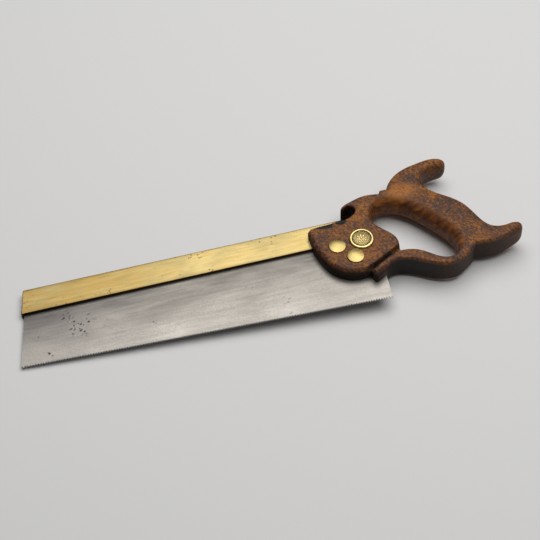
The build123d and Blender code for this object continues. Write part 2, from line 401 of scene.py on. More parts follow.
class NodeSheet:
    """Writes one procedural material's nodes."""

    def __init__(self, name: str) -> None:
        """Starts a material with an empty Principled surface."""
        self.material = bpy.data.materials.new(name)
        self.material.use_nodes = True
        self.nodes = self.material.node_tree.nodes
        self.links = self.material.node_tree.links
        self.surface = self.nodes["Principled BSDF"]
        self.where = self.nodes.new("ShaderNodeTexCoord").outputs["Object"]

    def feed(self, socket: bpy.types.NodeSocket, value: object) -> None:
        """Links a socket to another, or sets it to a plain value."""
        if isinstance(value, bpy.types.NodeSocket):
            self.links.new(value, socket)
        elif isinstance(value, tuple) and len(value) == 3 and socket.type == "RGBA":
            socket.default_value = (*value, 1.0)
        else:
            socket.default_value = value

    def mapped(
        self, scale: Colour, turn: float = 0.0, source: object = None
    ) -> bpy.types.NodeSocket:
        """Returns object coordinates, turned about z by degrees, then scaled."""
        turned_by = self.nodes.new("ShaderNodeMapping")
        turned_by.inputs["Rotation"].default_value = (0, 0, math.radians(turn))
        self.feed(turned_by.inputs["Vector"], source or self.where)
        scaled = self.nodes.new("ShaderNodeMapping")
        scaled.inputs["Scale"].default_value = scale
        self.feed(scaled.inputs["Vector"], turned_by.outputs["Vector"])
        return scaled.outputs["Vector"]

    def cloud(
        self,
        vector: bpy.types.NodeSocket,
        scale: float,
        detail: float = 3.0,
        roughness: float = 0.5,
        distortion: float = 0.0,
    ) -> bpy.types.NodeSocket:
        """Returns a noise pattern's value."""
        made = self.nodes.new("ShaderNodeTexNoise")
        self.feed(made.inputs["Vector"], vector)
        for key, value in (
            ("Scale", scale),
            ("Detail", detail),
            ("Roughness", roughness),
            ("Distortion", distortion),
        ):
            made.inputs[key].default_value = value
        return made.outputs["Fac"]

    def cells(
        self, vector: bpy.types.NodeSocket, scale: float, spread: float = 1.0
    ) -> bpy.types.NodeSocket:
        """Returns the distance to the nearest of many scattered points."""
        made = self.nodes.new("ShaderNodeTexVoronoi")
        self.feed(made.inputs["Vector"], vector)
        made.inputs["Scale"].default_value = scale
        made.inputs["Randomness"].default_value = spread
        return made.outputs["Distance"]

    def ramp(
        self, value: bpy.types.NodeSocket, stops: list[tuple[float, Colour]]
    ) -> bpy.types.NodeSocket:
        """Returns a colour picked along stops by a value."""
        made = self.nodes.new("ShaderNodeValToRGB")
        self.feed(made.inputs["Fac"], value)
        band = made.color_ramp
        while len(band.elements) < len(stops):
            band.elements.new(0.5)
        for element, (place, colour) in zip(band.elements, stops):
            element.position = place
            element.color = (*colour, 1.0)
        return made.outputs["Color"]

    def step(
        self,
        value: object,
        low: float,
        high: float,
        to_low: float = 0.0,
        to_high: float = 1.0,
    ) -> bpy.types.NodeSocket:
        """Returns a value eased from one span to another."""
        made = self.nodes.new("ShaderNodeMapRange")
        made.interpolation_type = "SMOOTHSTEP"
        self.feed(made.inputs["Value"], value)
        for key, number in (
            ("From Min", low),
            ("From Max", high),
            ("To Min", to_low),
            ("To Max", to_high),
        ):
            made.inputs[key].default_value = number
        return made.outputs["Result"]

    def sum(self, kind: str, first: object, second: object) -> bpy.types.NodeSocket:
        """Returns one math step of two values."""
        made = self.nodes.new("ShaderNodeMath")
        made.operation = kind
        self.feed(made.inputs[0], first)
        self.feed(made.inputs[1], second)
        return made.outputs["Value"]

    def blend(
        self, factor: object, first: object, second: object, way: str = "MIX"
    ) -> bpy.types.NodeSocket:
        """Returns two colours mixed by a factor."""
        made = self.nodes.new("ShaderNodeMix")
        made.data_type = "RGBA"
        made.blend_type = way
        self.feed(made.inputs["Factor"], factor)
        self.feed(made.inputs[6], first)
        self.feed(made.inputs[7], second)
        return made.outputs[2]

    def painted(self, name: str) -> bpy.types.NodeSocket:
        """Returns a value stored on the mesh's points."""
        made = self.nodes.new("ShaderNodeAttribute")
        made.attribute_name = name
        return made.outputs["Fac"]

    def axes(self, source: object = None) -> list[bpy.types.NodeSocket]:
        """Returns the x, y and z of the object coordinates."""
        made = self.nodes.new("ShaderNodeSeparateXYZ")
        self.feed(made.inputs[0], source or self.where)
        return list(made.outputs)

    def bump(self, height: object, depth: float, below: object = None) -> bpy.types.NodeSocket:
        """Returns a normal bent by a height pattern; depth is in metres."""
        made = self.nodes.new("ShaderNodeBump")
        made.inputs["Distance"].default_value = depth
        self.feed(made.inputs["Height"], height)
        if below is not None:
            self.feed(made.inputs["Normal"], below)
        return made.outputs["Normal"]

    def near(self, centre: Colour, radius: float) -> bpy.types.NodeSocket:
        """Returns 1 at a point, easing to 0 at a radius."""
        made = self.nodes.new("ShaderNodeVectorMath")
        made.operation = "DISTANCE"
        self.feed(made.inputs[0], self.where)
        made.inputs[1].default_value = centre
        return self.step(made.outputs["Value"], radius, 0.35 * radius)

    def finish(self, **inputs: object) -> bpy.types.Material:
        """Feeds the surface's inputs, named with _ for spaces, and returns the material."""
        for key, value in inputs.items():
            self.feed(self.surface.inputs[key.replace("_", " ")], value)
        return self.material


@dataclass(frozen=True)
class BladeSteel:
    """Old spring steel: satin grey, rubbed lengthwise, pitted near the toe.

    pitted holds the middle of each cluster of pits in row x and y, and its radius.
    """

    # toe, middle and heel are painted reflection: the steel is coloured darkest at the toe and
    # lightest in the middle, where the soft light's reflection falls
    toe: Colour = (0.118, 0.112, 0.107)
    middle: Colour = (0.262, 0.245, 0.222)
    heel: Colour = (0.195, 0.183, 0.167)
    pit: Colour = (0.075, 0.062, 0.055)
    # a lighter tone laid on towards the teeth
    near_teeth_tone: Colour = (0.60, 0.56, 0.515)
    fine_dirt: Colour = (0.17, 0.155, 0.14)
    roughness: float = 0.42
    pitted: tuple[tuple[float, float, float], ...] = (
        (-0.1690, -0.0130, 0.010),
        (-0.1535, -0.0165, 0.008),
        (-0.1620, -0.0240, 0.011),
        (-0.1880, -0.0412, 0.005),
        (-0.1020, -0.0340, 0.004),
        (0.0750, -0.0450, 0.005),
    )

    def make(self) -> bpy.types.Material:
        """Returns the steel."""
        sheet = NodeSheet("worn_blade_steel")
        streaks = sheet.cloud(sheet.mapped((26.0, 420.0, 26.0)), 1.0, 5.0, 0.6)
        patches = sheet.cloud(sheet.mapped((16.0, 34.0, 20.0)), 1.0, 5.0, 0.62, 0.4)
        x, y, _ = sheet.axes()
        # painted reflection along the blade: darker towards the toe and the heel, lightest in
        # the middle
        along = sheet.ramp(
            sheet.step(x, -0.215, 0.095),
            [(0.02, self.toe), (0.42, self.middle), (0.96, self.heel)],
        )
        shade = sheet.sum("MULTIPLY_ADD", streaks, 0.4)
        sheet.feed(shade.node.inputs[2], sheet.sum("MULTIPLY", patches, 0.6))
        tint = sheet.ramp(
            shade,
            [(0.36, (0.74, 0.73, 0.73)), (0.5, (1.0, 0.99, 0.98)), (0.64, (1.2, 1.2, 1.19))],
        )
        tone = sheet.blend(1.0, along, tint, "MULTIPLY")
        # lighter towards the teeth
        low = sheet.sum("MULTIPLY_ADD", x, 0.045)
        sheet.feed(low.node.inputs[2], y)
        tone = sheet.blend(sheet.step(low, 0.0, -0.058, 0.0, 0.5), tone, self.near_teeth_tone)
        fine = sheet.cloud(sheet.mapped((700.0, 1000.0, 700.0)), 1.0, 2.0)
        tone = sheet.blend(sheet.step(fine, 0.35, 0.75, 0.0, 0.3), tone, self.fine_dirt)
        area = None
        for east, north, radius in self.pitted:
            near = sheet.near((east, north, 0.006), radius)
            area = near if area is None else sheet.sum("MAXIMUM", area, near)
        spots = sheet.cells(sheet.mapped((1, 1, 1)), 260.0)
        blots = sheet.cloud(sheet.mapped((380.0, 380.0, 380.0)), 1.0, 3.0, 0.6)
        pits = sheet.sum("MAXIMUM", sheet.step(spots, 0.34, 0.16), sheet.step(blots, 0.60, 0.68))
        rare = sheet.cloud(sheet.mapped((70.0, 70.0, 70.0)), 1.0, 2.0)
        everywhere = sheet.step(rare, 0.62, 0.72, 0.0, 0.45)
        amount = sheet.sum("MULTIPLY", pits, sheet.sum("MAXIMUM", area, everywhere))
        tone = sheet.blend(amount, tone, self.pit)
        rough = sheet.step(shade, 0.3, 0.7, self.roughness + 0.08, self.roughness - 0.06)
        dents = sheet.bump(sheet.sum("MULTIPLY", amount, -1.0), 0.00015)
        return sheet.finish(
            Base_Color=tone,
            Metallic=0.9,
            Roughness=rough,
            Normal=sheet.bump(streaks, 0.00001, dents),
        )


@dataclass(frozen=True)
class RubbedBrass:
    """Old brass rubbed bright along its length, with dark specks and a dull bloom."""

    name: str = "rubbed_brass"
    light: Colour = (0.52, 0.41, 0.180)
    dark: Colour = (0.39, 0.265, 0.088)
    speck: Colour = (0.16, 0.095, 0.04)
    # a near-black for soiling mixed with painted shade, laid on by the stored mask
    dirt_and_shade: Colour = (0.035, 0.022, 0.012)
    grain: Colour = (30.0, 520.0, 60.0)
    specks: float = 1.0
    roughness: float = 0.40
    # painted shade: the strip is coloured darker towards the toe, where less of the soft light's
    # reflection falls
    toe_painted_shade: bool = False

    def make(self) -> bpy.types.Material:
        """Returns the brass."""
        sheet = NodeSheet(self.name)
        streaks = sheet.cloud(sheet.mapped(self.grain), 1.0, 4.0, 0.6)
        bloom = sheet.cloud(sheet.mapped((40.0, 70.0, 60.0)), 1.0, 5.0, 0.65, 0.5)
        shade = sheet.sum("MULTIPLY_ADD", streaks, 0.45)
        sheet.feed(shade.node.inputs[2], sheet.sum("MULTIPLY", bloom, 0.55))
        # painted shade, darker towards the toe
        if self.toe_painted_shade:
            x, _, _ = sheet.axes()
            shade = sheet.sum("ADD", shade, sheet.step(x, -0.13, -0.05, -0.10, 0.03))
        tone = sheet.ramp(shade, [(0.36, self.dark), (0.56, self.light)])
        spots = sheet.cells(sheet.mapped((0.8, 1.2, 1.0)), 330.0)
        rarely = sheet.cloud(sheet.mapped((55.0, 70.0, 60.0)), 1.0, 2.0)
        marks = sheet.sum(
            "MULTIPLY",
            sheet.step(spots, 0.30, 0.10),
            sheet.step(rarely, 0.52, 0.66, 0.0, self.specks),
        )
        tone = sheet.blend(marks, tone, self.speck)
        # soiling mixed with painted shade, from the stored mask
        tone = sheet.blend(sheet.painted("grime_and_shade"), tone, self.dirt_and_shade)
        rough = sheet.step(
            bloom, 0.35, 0.7, self.roughness - 0.06, self.roughness + 0.12
        )
        dents = sheet.bump(sheet.sum("MULTIPLY", marks, -1.0), 0.00008)
        return sheet.finish(
            Base_Color=tone,
            Metallic=1.0,
            Roughness=rough,
            Normal=sheet.bump(streaks, 0.000008, dents),
        )


@dataclass(frozen=True)
class VarnishedWood:
    """Old fruitwood with a crazed dark varnish, rubbed to bare orange where held."""

    darkest: Colour = (0.032, 0.019, 0.015)
    violet: Colour = (0.075, 0.040, 0.031)
    brown: Colour = (0.14, 0.056, 0.024)
    orange: Colour = (0.30, 0.112, 0.024)
    bright: Colour = (0.44, 0.170, 0.034)
    # a near-black laid on by the stored mask: dark varnish and soiling mixed with painted shade
    # on the walls, groove and chips
    stain_and_shade: Colour = (0.011, 0.0075, 0.0065)
    # a brighter orange laid on at the horn's root
    orange_horn_root: Colour = (0.44, 0.165, 0.034)

    def make(self) -> bpy.types.Material:
        """Returns the wood."""
        sheet = NodeSheet("old_varnished_wood")
        grain = sheet.mapped((430.0, 640.0, 520.0), 48.0)
        flecks = sheet.cloud(grain, 1.0, 4.0, 0.62, 0.5)
        broad = sheet.cloud(sheet.mapped((60.0, 85.0, 60.0), 20.0), 1.0, 3.0, 0.55, 0.3)
        mixed = sheet.sum("MULTIPLY_ADD", broad, 0.34)
        sheet.feed(mixed.node.inputs[2], sheet.sum("MULTIPLY", flecks, 0.66))
        crazed = sheet.ramp(
            mixed,
            [
                (0.33, self.darkest),
                (0.43, self.violet),
                (0.50, self.brown),
                (0.57, self.orange),
                (0.70, self.bright),
            ],
        )
        long_grain = sheet.cloud(sheet.mapped((90.0, 260.0, 160.0), 0.0), 1.0, 5.0, 0.6, 0.4)
        rubbed = sheet.ramp(
            long_grain,
            [
                (0.32, (0.07, 0.026, 0.011)),
                (0.5, (0.16, 0.055, 0.016)),
                (0.68, (0.32, 0.115, 0.024)),
            ],
        )
        held = sheet.painted("polish")
        patchy = sheet.sum(
            "ADD", held, sheet.step(sheet.cloud(grain, 0.5, 3.0), 0.35, 0.7, -0.3, 0.3)
        )
        tone = sheet.blend(sheet.step(patchy, 0.3, 0.8), crazed, rubbed)
        breaks = sheet.step(flecks, 0.36, 0.5, 0.25, 1.0)
        # a brighter orange at the horn's root, broken by the flecks
        orange_horn_root = sheet.sum("MULTIPLY", sheet.painted("orange_horn_root"), breaks)
        tone = sheet.blend(orange_horn_root, tone, self.orange_horn_root)
        # dark varnish and soiling mixed with painted shade, from the stored mask
        tone = sheet.blend(sheet.painted("grime_and_shade"), tone, self.stain_and_shade)
        rough = sheet.step(mixed, 0.4, 0.6, 0.46, 0.6)
        pores = sheet.cloud(sheet.mapped((160.0, 1500.0, 700.0), 0.0), 1.0, 2.0, 0.6)
        fine = sheet.bump(pores, 0.00004)
        return sheet.finish(
            Base_Color=tone,
            Roughness=rough,
            Specular_IOR_Level=0.2,
            Coat_Weight=0.03,
            Coat_Roughness=0.35,
            Normal=sheet.bump(mixed, 0.00022, fine),
        )


@dataclass(frozen=True)
class PaleFloor:
    """A plain pale grey floor."""

    colour: Colour = (0.80, 0.80, 0.805)

    def make(self) -> bpy.types.Material:
        """Returns the floor's finish."""
        sheet = NodeSheet("pale_floor")
        return sheet.finish(Base_Color=self.colour, Roughness=0.9)


# ---------------------------------------------------------------- the plate


@dataclass
class SawPlate:
    """The tapered steel plate with its row of teeth, set to alternate sides."""

    frame: SawFrame
    tooth_line: float = 304.8
    teeth: int = 144
    tooth_depth: float = 2.1
    tooth_set: float = 0.16
    fleam: float = 0.35
    thickness: float = 0.8
    taper: float = 2.5
    cant: float = 11.8
    heel_edge: float = 36.0
    top: float = 68.1
    rear_shoulder: Point2 = (300.0, 60.0)
    rear_top: Point2 = (286.0, 68.1)
    row_heights: tuple[float, ...] = (3.0, 5.0)
    rows_above: int = 5

    def along_teeth(self, distance: float, height: float = 0.0) -> Point2:
        """Returns the flat point at a distance along and a height above the teeth."""
        turn = math.radians(self.taper)
        return (
            distance * math.cos(turn) + height * math.sin(turn),
            -distance * math.sin(turn) + height * math.cos(turn),
        )

    def top_point(self, share: float) -> Point2:
        """Returns the upper edge's point at a share of the plate's length."""
        heel = self.along_teeth(self.tooth_line, self.heel_edge)
        toe = (self.top * math.tan(math.radians(self.cant)), self.top)
        path = [toe, self.rear_top, self.rear_shoulder, heel]
        x = toe[0] + share * (heel[0] - toe[0])
        return x, float(np.interp(x, [p[0] for p in path], [p[1] for p in path]))

    def build(self) -> bpy.types.Object:
        """Returns the plate with its teeth cut and set."""
        columns = 2 * self.teeth + 1
        points, tip, gullet, lean = [], [], [], []
        for side in SawSide:
            for i in range(columns):
                share = i / (columns - 1)
                low = np.array(self.along_teeth(share * self.tooth_line))
                high = np.array(self.top_point(share))
                length = float(np.linalg.norm(high - low))
                first = [0.0] + [h / length for h in self.row_heights]
                rest = np.linspace(first[-1], 1.0, self.rows_above + 1)[1:]
                for r, along in enumerate([*first, *rest]):
                    x, y = low + (high - low) * along
                    points.append((x, y, side.value * self.thickness / 2))
                    edge = r == 0
                    tip.append(float(edge and i % 2 == 0))
                    gullet.append(float(edge and i % 2 == 1))
                    lean.append(float(side.value) if i % 4 == 0 else -float(side.value))
        rows = 1 + len(self.row_heights) + self.rows_above
        half = columns * rows
        faces = []
        for i in range(columns - 1):
            for r in range(rows - 1):
                a = i * rows + r
                faces.append((a, a + rows, a + rows + 1, a + 1))
                faces.append((half + a, half + a + 1, half + a + rows + 1, half + a + rows))
            for r in (0, rows - 1):
                a = i * rows + r
                faces.append((a, half + a, half + a + rows, a + rows))
        for i in (0, columns - 1):
            for r in range(rows - 1):
                a = i * rows + r
                faces.append((a, a + 1, half + a + 1, half + a))
        plate = object_from("saw_plate_toothed", np.array(points), faces)
        for name, values in (("tip", tip), ("gullet", gullet), ("lean", lean)):
            keep(plate.data, name, values)
        return plate

    def cut_teeth(self, plate: bpy.types.Object, steel: bpy.types.Material) -> None:
        """Cuts the gullets and sets the teeth by Geometry Nodes, then bakes the mesh."""
        tree = bpy.data.node_groups.new("tooth_cutting", "GeometryNodeTree")
        face = tree.interface
        face.new_socket("Geometry", in_out="INPUT", socket_type="NodeSocketGeometry")
        sizes = {
            "Tooth depth": self.tooth_depth,
            "Set": self.tooth_set,
            "Fleam": self.fleam,
            "Taper": math.radians(self.taper),
        }
        ids = {
            name: face.new_socket(
                name, in_out="INPUT", socket_type="NodeSocketFloat"
            ).identifier
            for name in sizes
        }
        ids["Steel"] = face.new_socket(
            "Steel", in_out="INPUT", socket_type="NodeSocketMaterial"
        ).identifier
        face.new_socket("Geometry", in_out="OUTPUT", socket_type="NodeSocketGeometry")
        build = GeometrySheet(tree)
        tip, gullet = build.named("tip"), build.named("gullet")
        lean = build.named("lean")
        place = build.add("GeometryNodeInputPosition").outputs[0]
        z = build.split(place)[2]
        side = build.math("SIGN", z, 0.0)
        raised = build.math("MULTIPLY", gullet, build.input("Tooth depth"))
        # lean is the side this tooth bends to, seen from the side that it is stored on
        away = build.math("MULTIPLY", build.math("LESS_THAN", lean, 0.0), tip)
        raised = build.math(
            "ADD", raised, build.math("MULTIPLY", away, build.input("Fleam"))
        )
        bend = build.math("MULTIPLY", build.math("MULTIPLY", lean, side), tip)
        bend = build.math("MULTIPLY", bend, build.input("Set"))
        turn = build.input("Taper")
        offset = build.vector(
            build.math("MULTIPLY", raised, build.math("SINE", turn, 0.0)),
            build.math("MULTIPLY", raised, build.math("COSINE", turn, 0.0)),
            bend,
        )
        shift = build.add("GeometryNodeSetPosition")
        build.link(build.input("Geometry"), shift.inputs["Geometry"])
        build.link(offset, shift.inputs["Offset"])
        build.end(shift.outputs["Geometry"], build.input("Steel"))
        change = plate.modifiers.new("teeth", "NODES")
        change.node_group = tree
        for name, value in sizes.items():
            change[ids[name]] = value
        change[ids["Steel"]] = steel
        baked(plate)

    def dress(self, steel: bpy.types.Material) -> bpy.types.Object:
        plate = self.build()
        self.cut_teeth(plate, steel)
        for name in ("tip", "gullet", "lean"):
            plate.data.attributes.remove(plate.data.attributes[name])
        soften(plate.data, 20.0)
        self.frame.place(plate.data)
        return fitted(plate, ["saw_plate"])


class GeometrySheet:
    """Writes one Geometry Nodes tree."""

    def __init__(self, tree: bpy.types.NodeTree) -> None:
        """Starts from a tree whose sockets are named."""
        self.tree = tree
        self.entry = tree.nodes.new("NodeGroupInput")

    def add(self, kind: str, **settings: object) -> bpy.types.Node:
        """Adds a node and sets its plain properties."""
        node = self.tree.nodes.new(kind)
        for key, value in settings.items():
            setattr(node, key, value)
        return node

    def link(self, source: object, socket: bpy.types.NodeSocket) -> None:
        """Links a socket, or sets it to a plain value."""
        if isinstance(source, bpy.types.NodeSocket):
            self.tree.links.new(source, socket)
        else:
            socket.default_value = source

    def input(self, name: str) -> bpy.types.NodeSocket:
        """Returns the tree's named input."""
        return self.entry.outputs[name]

    def named(self, name: str) -> bpy.types.NodeSocket:
        """Returns a number stored on the mesh's points."""
        node = self.add("GeometryNodeInputNamedAttribute", data_type="FLOAT")
        node.inputs["Name"].default_value = name
        return node.outputs["Attribute"]

    def math(self, kind: str, first: object, second: object) -> bpy.types.NodeSocket:
        """Returns one math step of two values."""
        node = self.add("ShaderNodeMath", operation=kind)
        self.link(first, node.inputs[0])
        self.link(second, node.inputs[1])
        return node.outputs[0]

    def split(self, vector: bpy.types.NodeSocket) -> list[bpy.types.NodeSocket]:
        """Returns a vector's three numbers."""
        node = self.add("ShaderNodeSeparateXYZ")
        self.link(vector, node.inputs[0])
        return list(node.outputs)

    def vector(self, x: object, y: object, z: object) -> bpy.types.NodeSocket:
        """Returns a vector of three numbers."""
        node = self.add("ShaderNodeCombineXYZ")
        for value, socket in zip((x, y, z), node.inputs):
            self.link(value, socket)
        return node.outputs[0]

    def end(self, made: bpy.types.NodeSocket, finish: object) -> None:
        """Ends the tree in Realize Instances and Set Material."""
        real = self.add("GeometryNodeRealizeInstances")
        self.link(made, real.inputs[0])
        paint = self.add("GeometryNodeSetMaterial")
        self.link(real.outputs[0], paint.inputs["Geometry"])
        self.link(finish, paint.inputs["Material"])
        leave = self.add("NodeGroupOutput")
        self.link(paint.outputs[0], leave.inputs[0])


def fitted(
    piece: bpy.types.Object, nodes: list[str]
) -> bpy.types.Object:
    """Rides a piece on the one body, in place of CAD nodes, and logs the nodes it stands for."""
    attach(piece, "root")
    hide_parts(*nodes)
    LOG.info("%s stands for %s", piece.name, ", ".join(nodes))
    return piece


# ---------------------------------------------------------------- the brass back


@dataclass
class FoldedBack:
    """The folded brass strip that stiffens the plate's upper edge."""

    frame: SawFrame
    height: float = 23.6
    thickness: float = 7.0
    lower_edge: float = 50.0
    toe: float = 8.4
    end: float = 292.0
    cant: float = 11.8
    slot_depth: float = 18.4
    slot_half: float = 0.45
    crown: float = 1.3
    lip: float = 0.5
    end_round: float = 1.0
    # from here on the back is coloured near black: painted shadow for the notch's dark mouth
    painted_notch_shadow: tuple[float, float] = (277.0, 280.5)
    wobble: float = 0.05
    sections: int = 150

    def profile(self) -> np.ndarray:
        """Returns the closed section as rows of y and z, left lip first."""
        half = self.thickness / 2
        low, high = self.lower_edge, self.lower_edge + self.height
        left = [(low + self.slot_depth, self.slot_half)]
        left += [(low + 9.0, self.slot_half), (low + 0.4, self.slot_half)]
        left += [(low + 0.1, self.slot_half + 0.15), (low, self.slot_half + 0.5)]
        left += [
            (
                low + self.lip * (1 - math.cos(math.radians(a))),
                half - self.lip * (1 - math.sin(math.radians(a))),
            )
            for a in (0, 22, 45, 68, 90)
        ]
        for share in (0.12, 0.25, 0.4, 0.55, 0.7, 0.85):
            left.append((low + share * self.height, half))
        left += [
            (
                high - self.crown * (1 - math.sin(math.radians(a))),
                half - self.crown * (1 - math.cos(math.radians(a))),
            )
            for a in (0, 15, 30, 45, 60, 75, 90)
        ]
        left.append((high + 0.04, half - self.crown - 1.0))
        right = [(y, -z) for y, z in reversed(left)]
        return np.array([*left, (high + 0.06, 0.0), *right])

    def build(self) -> bpy.types.Object:
        """Returns the back in the flat axes."""
        section = self.profile()
        ahead = np.roll(section, -1, 0) - np.roll(section, 1, 0)
        normal = np.stack((-ahead[:, 1], ahead[:, 0]), 1)
        normal /= np.linalg.norm(normal, axis=1, keepdims=True) + 1e-9
        on_left_face = 14
        if (normal[:, 1] * np.sign(section[:, 1]))[on_left_face] < 0:
            normal = -normal
        stops = [(0.0, 1.0), (0.12, 0.6), (0.35, 0.28), (0.7, 0.0)]
        length = self.end - self.toe
        places = [(s, self.end_round * t) for s, t in stops]
        places += [(s, 0.0) for s in np.linspace(1.5, length - 1.5, self.sections)]
        places += [(length - s, self.end_round * t) for s, t in reversed(stops)]
        lean = math.tan(math.radians(self.cant))
        points = []
        for s, inset in places:
            share = 1 - s / length
            for (y, z), n in zip(section, normal):
                x = self.toe + s + lean * (y - self.lower_edge) * share
                yy, zz = y - n[0] * inset, z - n[1] * inset
                points.append((x, yy, zz))
        points = np.array(points)
        outer = np.abs(points[:, 2]) > self.thickness / 2 - 0.2
        push = self.wobble * ripple(points * (1, 1, 0.2), 26.0, 3.0)
        push += 0.35 * self.wobble * ripple(points * (1, 1, 0.2), 7.0, 9.0)
        points[:, 2] += np.where(outer, push * np.sign(points[:, 2]), 0.0)
        count = len(section)
        faces = []
        for r in range(len(places) - 1):
            for i in range(count):
                j = (i + 1) % count
                a, b = r * count, (r + 1) * count
                faces.append((a + i, a + j, b + j, b + i))
        last = (len(places) - 1) * count
        faces.append(tuple(range(count)))
        faces.append(tuple(last + i for i in range(count)))
        back = object_from("brass_back_folded", points, faces)
        work = bmesh.new()
        work.from_mesh(back.data)
        big = [f for f in work.faces if len(f.verts) > 4]
        bmesh.ops.triangulate(work, faces=big)
        bmesh.ops.recalc_face_normals(work, faces=work.faces)
        work.to_mesh(back.data)
        work.free()
        return back

    def paint(self, back: bpy.types.Object) -> None:
        """Stores a dark mask: soiling mixed with painted shade on the lower lips, toe end, heel
        end and slot, a darker crown, and painted shadow where the back shows in the notch.
        """
        flat = coordinates(back.data)
        x, y = flat[:, 0], flat[:, 1]
        lean = math.tan(math.radians(self.cant))
        from_toe = x - self.toe - lean * (y - self.lower_edge)
        # the lower lip: soiling mixed with painted shade, for the lip's dark reflection and its
        # contact shadow on the plate
        dirt_and_shade = 0.92 * smooth_step(self.lower_edge + 0.75, self.lower_edge + 0.25, y)
        # the toe end's rounded face: soiling mixed with painted shade
        dirt_and_shade = np.maximum(dirt_and_shade, 0.6 * smooth_step(0.9, 0.2, from_toe))
        dirt_and_shade = np.maximum(dirt_and_shade, 0.9 * smooth_step(self.end - 0.8, self.end - 0.2, x))
        # painted shadow: near black from the notch on, as the shade in its mouth
        dirt_and_shade = np.maximum(dirt_and_shade, 0.96 * smooth_step(*self.painted_notch_shadow, x))
        high = self.lower_edge + self.height
        # darker along the top of the crown
        dirt_and_shade = np.maximum(dirt_and_shade, 0.45 * smooth_step(high - 0.7, high - 0.05, y))
        # inside the slot: soiling mixed with painted shade
        slot = np.abs(flat[:, 2]) < self.slot_half + 0.05
        keep(back.data, "grime_and_shade", np.where(slot, 0.9, dirt_and_shade))

    def dress(self, brass: bpy.types.Material) -> bpy.types.Object:
        """Builds, finishes and places the back."""
        back = self.build()
        self.paint(back)
        back.data.materials.append(brass)
        soften(back.data, 35.0)
        self.frame.place(back.data)
        return fitted(back, ["brass_back"])


# ---------------------------------------------------------------- the handle


@dataclass(frozen=True)
class EdgeMark:
    """How the handle's edge is worked at one place on its outline, in mm.

    reach is how far the rounding runs in over the face, drop how far it comes down
    the wall, fullness 1 for a flat chamfer and 2 for a full round, and the last number
    how dark the wall below is painted: dark varnish mixed with painted shade, darkest
    on walls turned from the light.
    """

    x: float
    y: float
    reach: float
    drop: float
    fullness: float = 2.0
    # how dark the wall is painted: dark varnish mixed with painted shade
    stain_and_shade: float = 0.0


@dataclass(frozen=True)
class OutlinePart:
    """A straight, arched or springing part of an outline, through given points.

    Two points make a line and three without directions an arc. With directions at
    its ends, any number of points make a fair spring-like curve.
    """

    through: tuple[Point2, ...]
    leaving: Point2 | None = None
    arriving: Point2 | None = None
    steps: int = 40

    def points(self) -> np.ndarray:
        """Returns points along the part, both ends included."""
        given = np.array(self.through, float)
        if self.leaving is not None and self.arriving is not None:
            return self.spring(given)
        if len(given) == 3:
            return self.arch(given)
        share = np.linspace(0.0, 1.0, self.steps)[:, None]
        return given[0] + (given[1] - given[0]) * share

    def arch(self, given: np.ndarray) -> np.ndarray:
        """Returns the circular arc through three points."""
        a, b, c = given
        rows = 2 * np.array((b - a, c - a))
        sides = np.array((b @ b - a @ a, c @ c - a @ a))
        middle = np.linalg.solve(rows, sides)
        angles = [math.atan2(*(p - middle)[::-1]) for p in given]
        first, via, last = angles
        ahead = (last - first) % math.tau
        if (via - first) % math.tau > ahead:
            ahead -= math.tau
        at = first + ahead * np.linspace(0.0, 1.0, self.steps)
        radius = np.linalg.norm(a - middle)
        return middle + radius * np.stack((np.cos(at), np.sin(at)), 1)

    def spring(self, given: np.ndarray) -> np.ndarray:
        """Returns the smooth cubic through the points with its ends' directions."""
        chord = np.linalg.norm(np.diff(given, axis=0), axis=1)
        count = len(given)
        ends = [np.array(d) / np.linalg.norm(d) for d in (self.leaving, self.arriving)]
        system, wanted = np.eye(count), np.zeros((count, 2))
        wanted[0], wanted[-1] = ends
        for i in range(1, count - 1):
            before, after = chord[i - 1], chord[i]
            system[i, i - 1 : i + 2] = (after, 2 * (before + after), before)
            wanted[i] = 3 * (
                after * (given[i] - given[i - 1]) / before
                + before * (given[i + 1] - given[i]) / after
            )
        slope = np.linalg.solve(system, wanted)
        made = []
        for i in range(count - 1):
            t = np.linspace(0.0, 1.0, self.steps, endpoint=i == count - 2)[:, None]
            t2, t3 = t * t, t * t * t
            made.append(
                (2 * t3 - 3 * t2 + 1) * given[i]
                + (t3 - 2 * t2 + t) * chord[i] * slope[i]
                + (3 * t2 - 2 * t3) * given[i + 1]
                + (t3 - t2) * chord[i] * slope[i + 1]
            )
        return np.vstack(made)


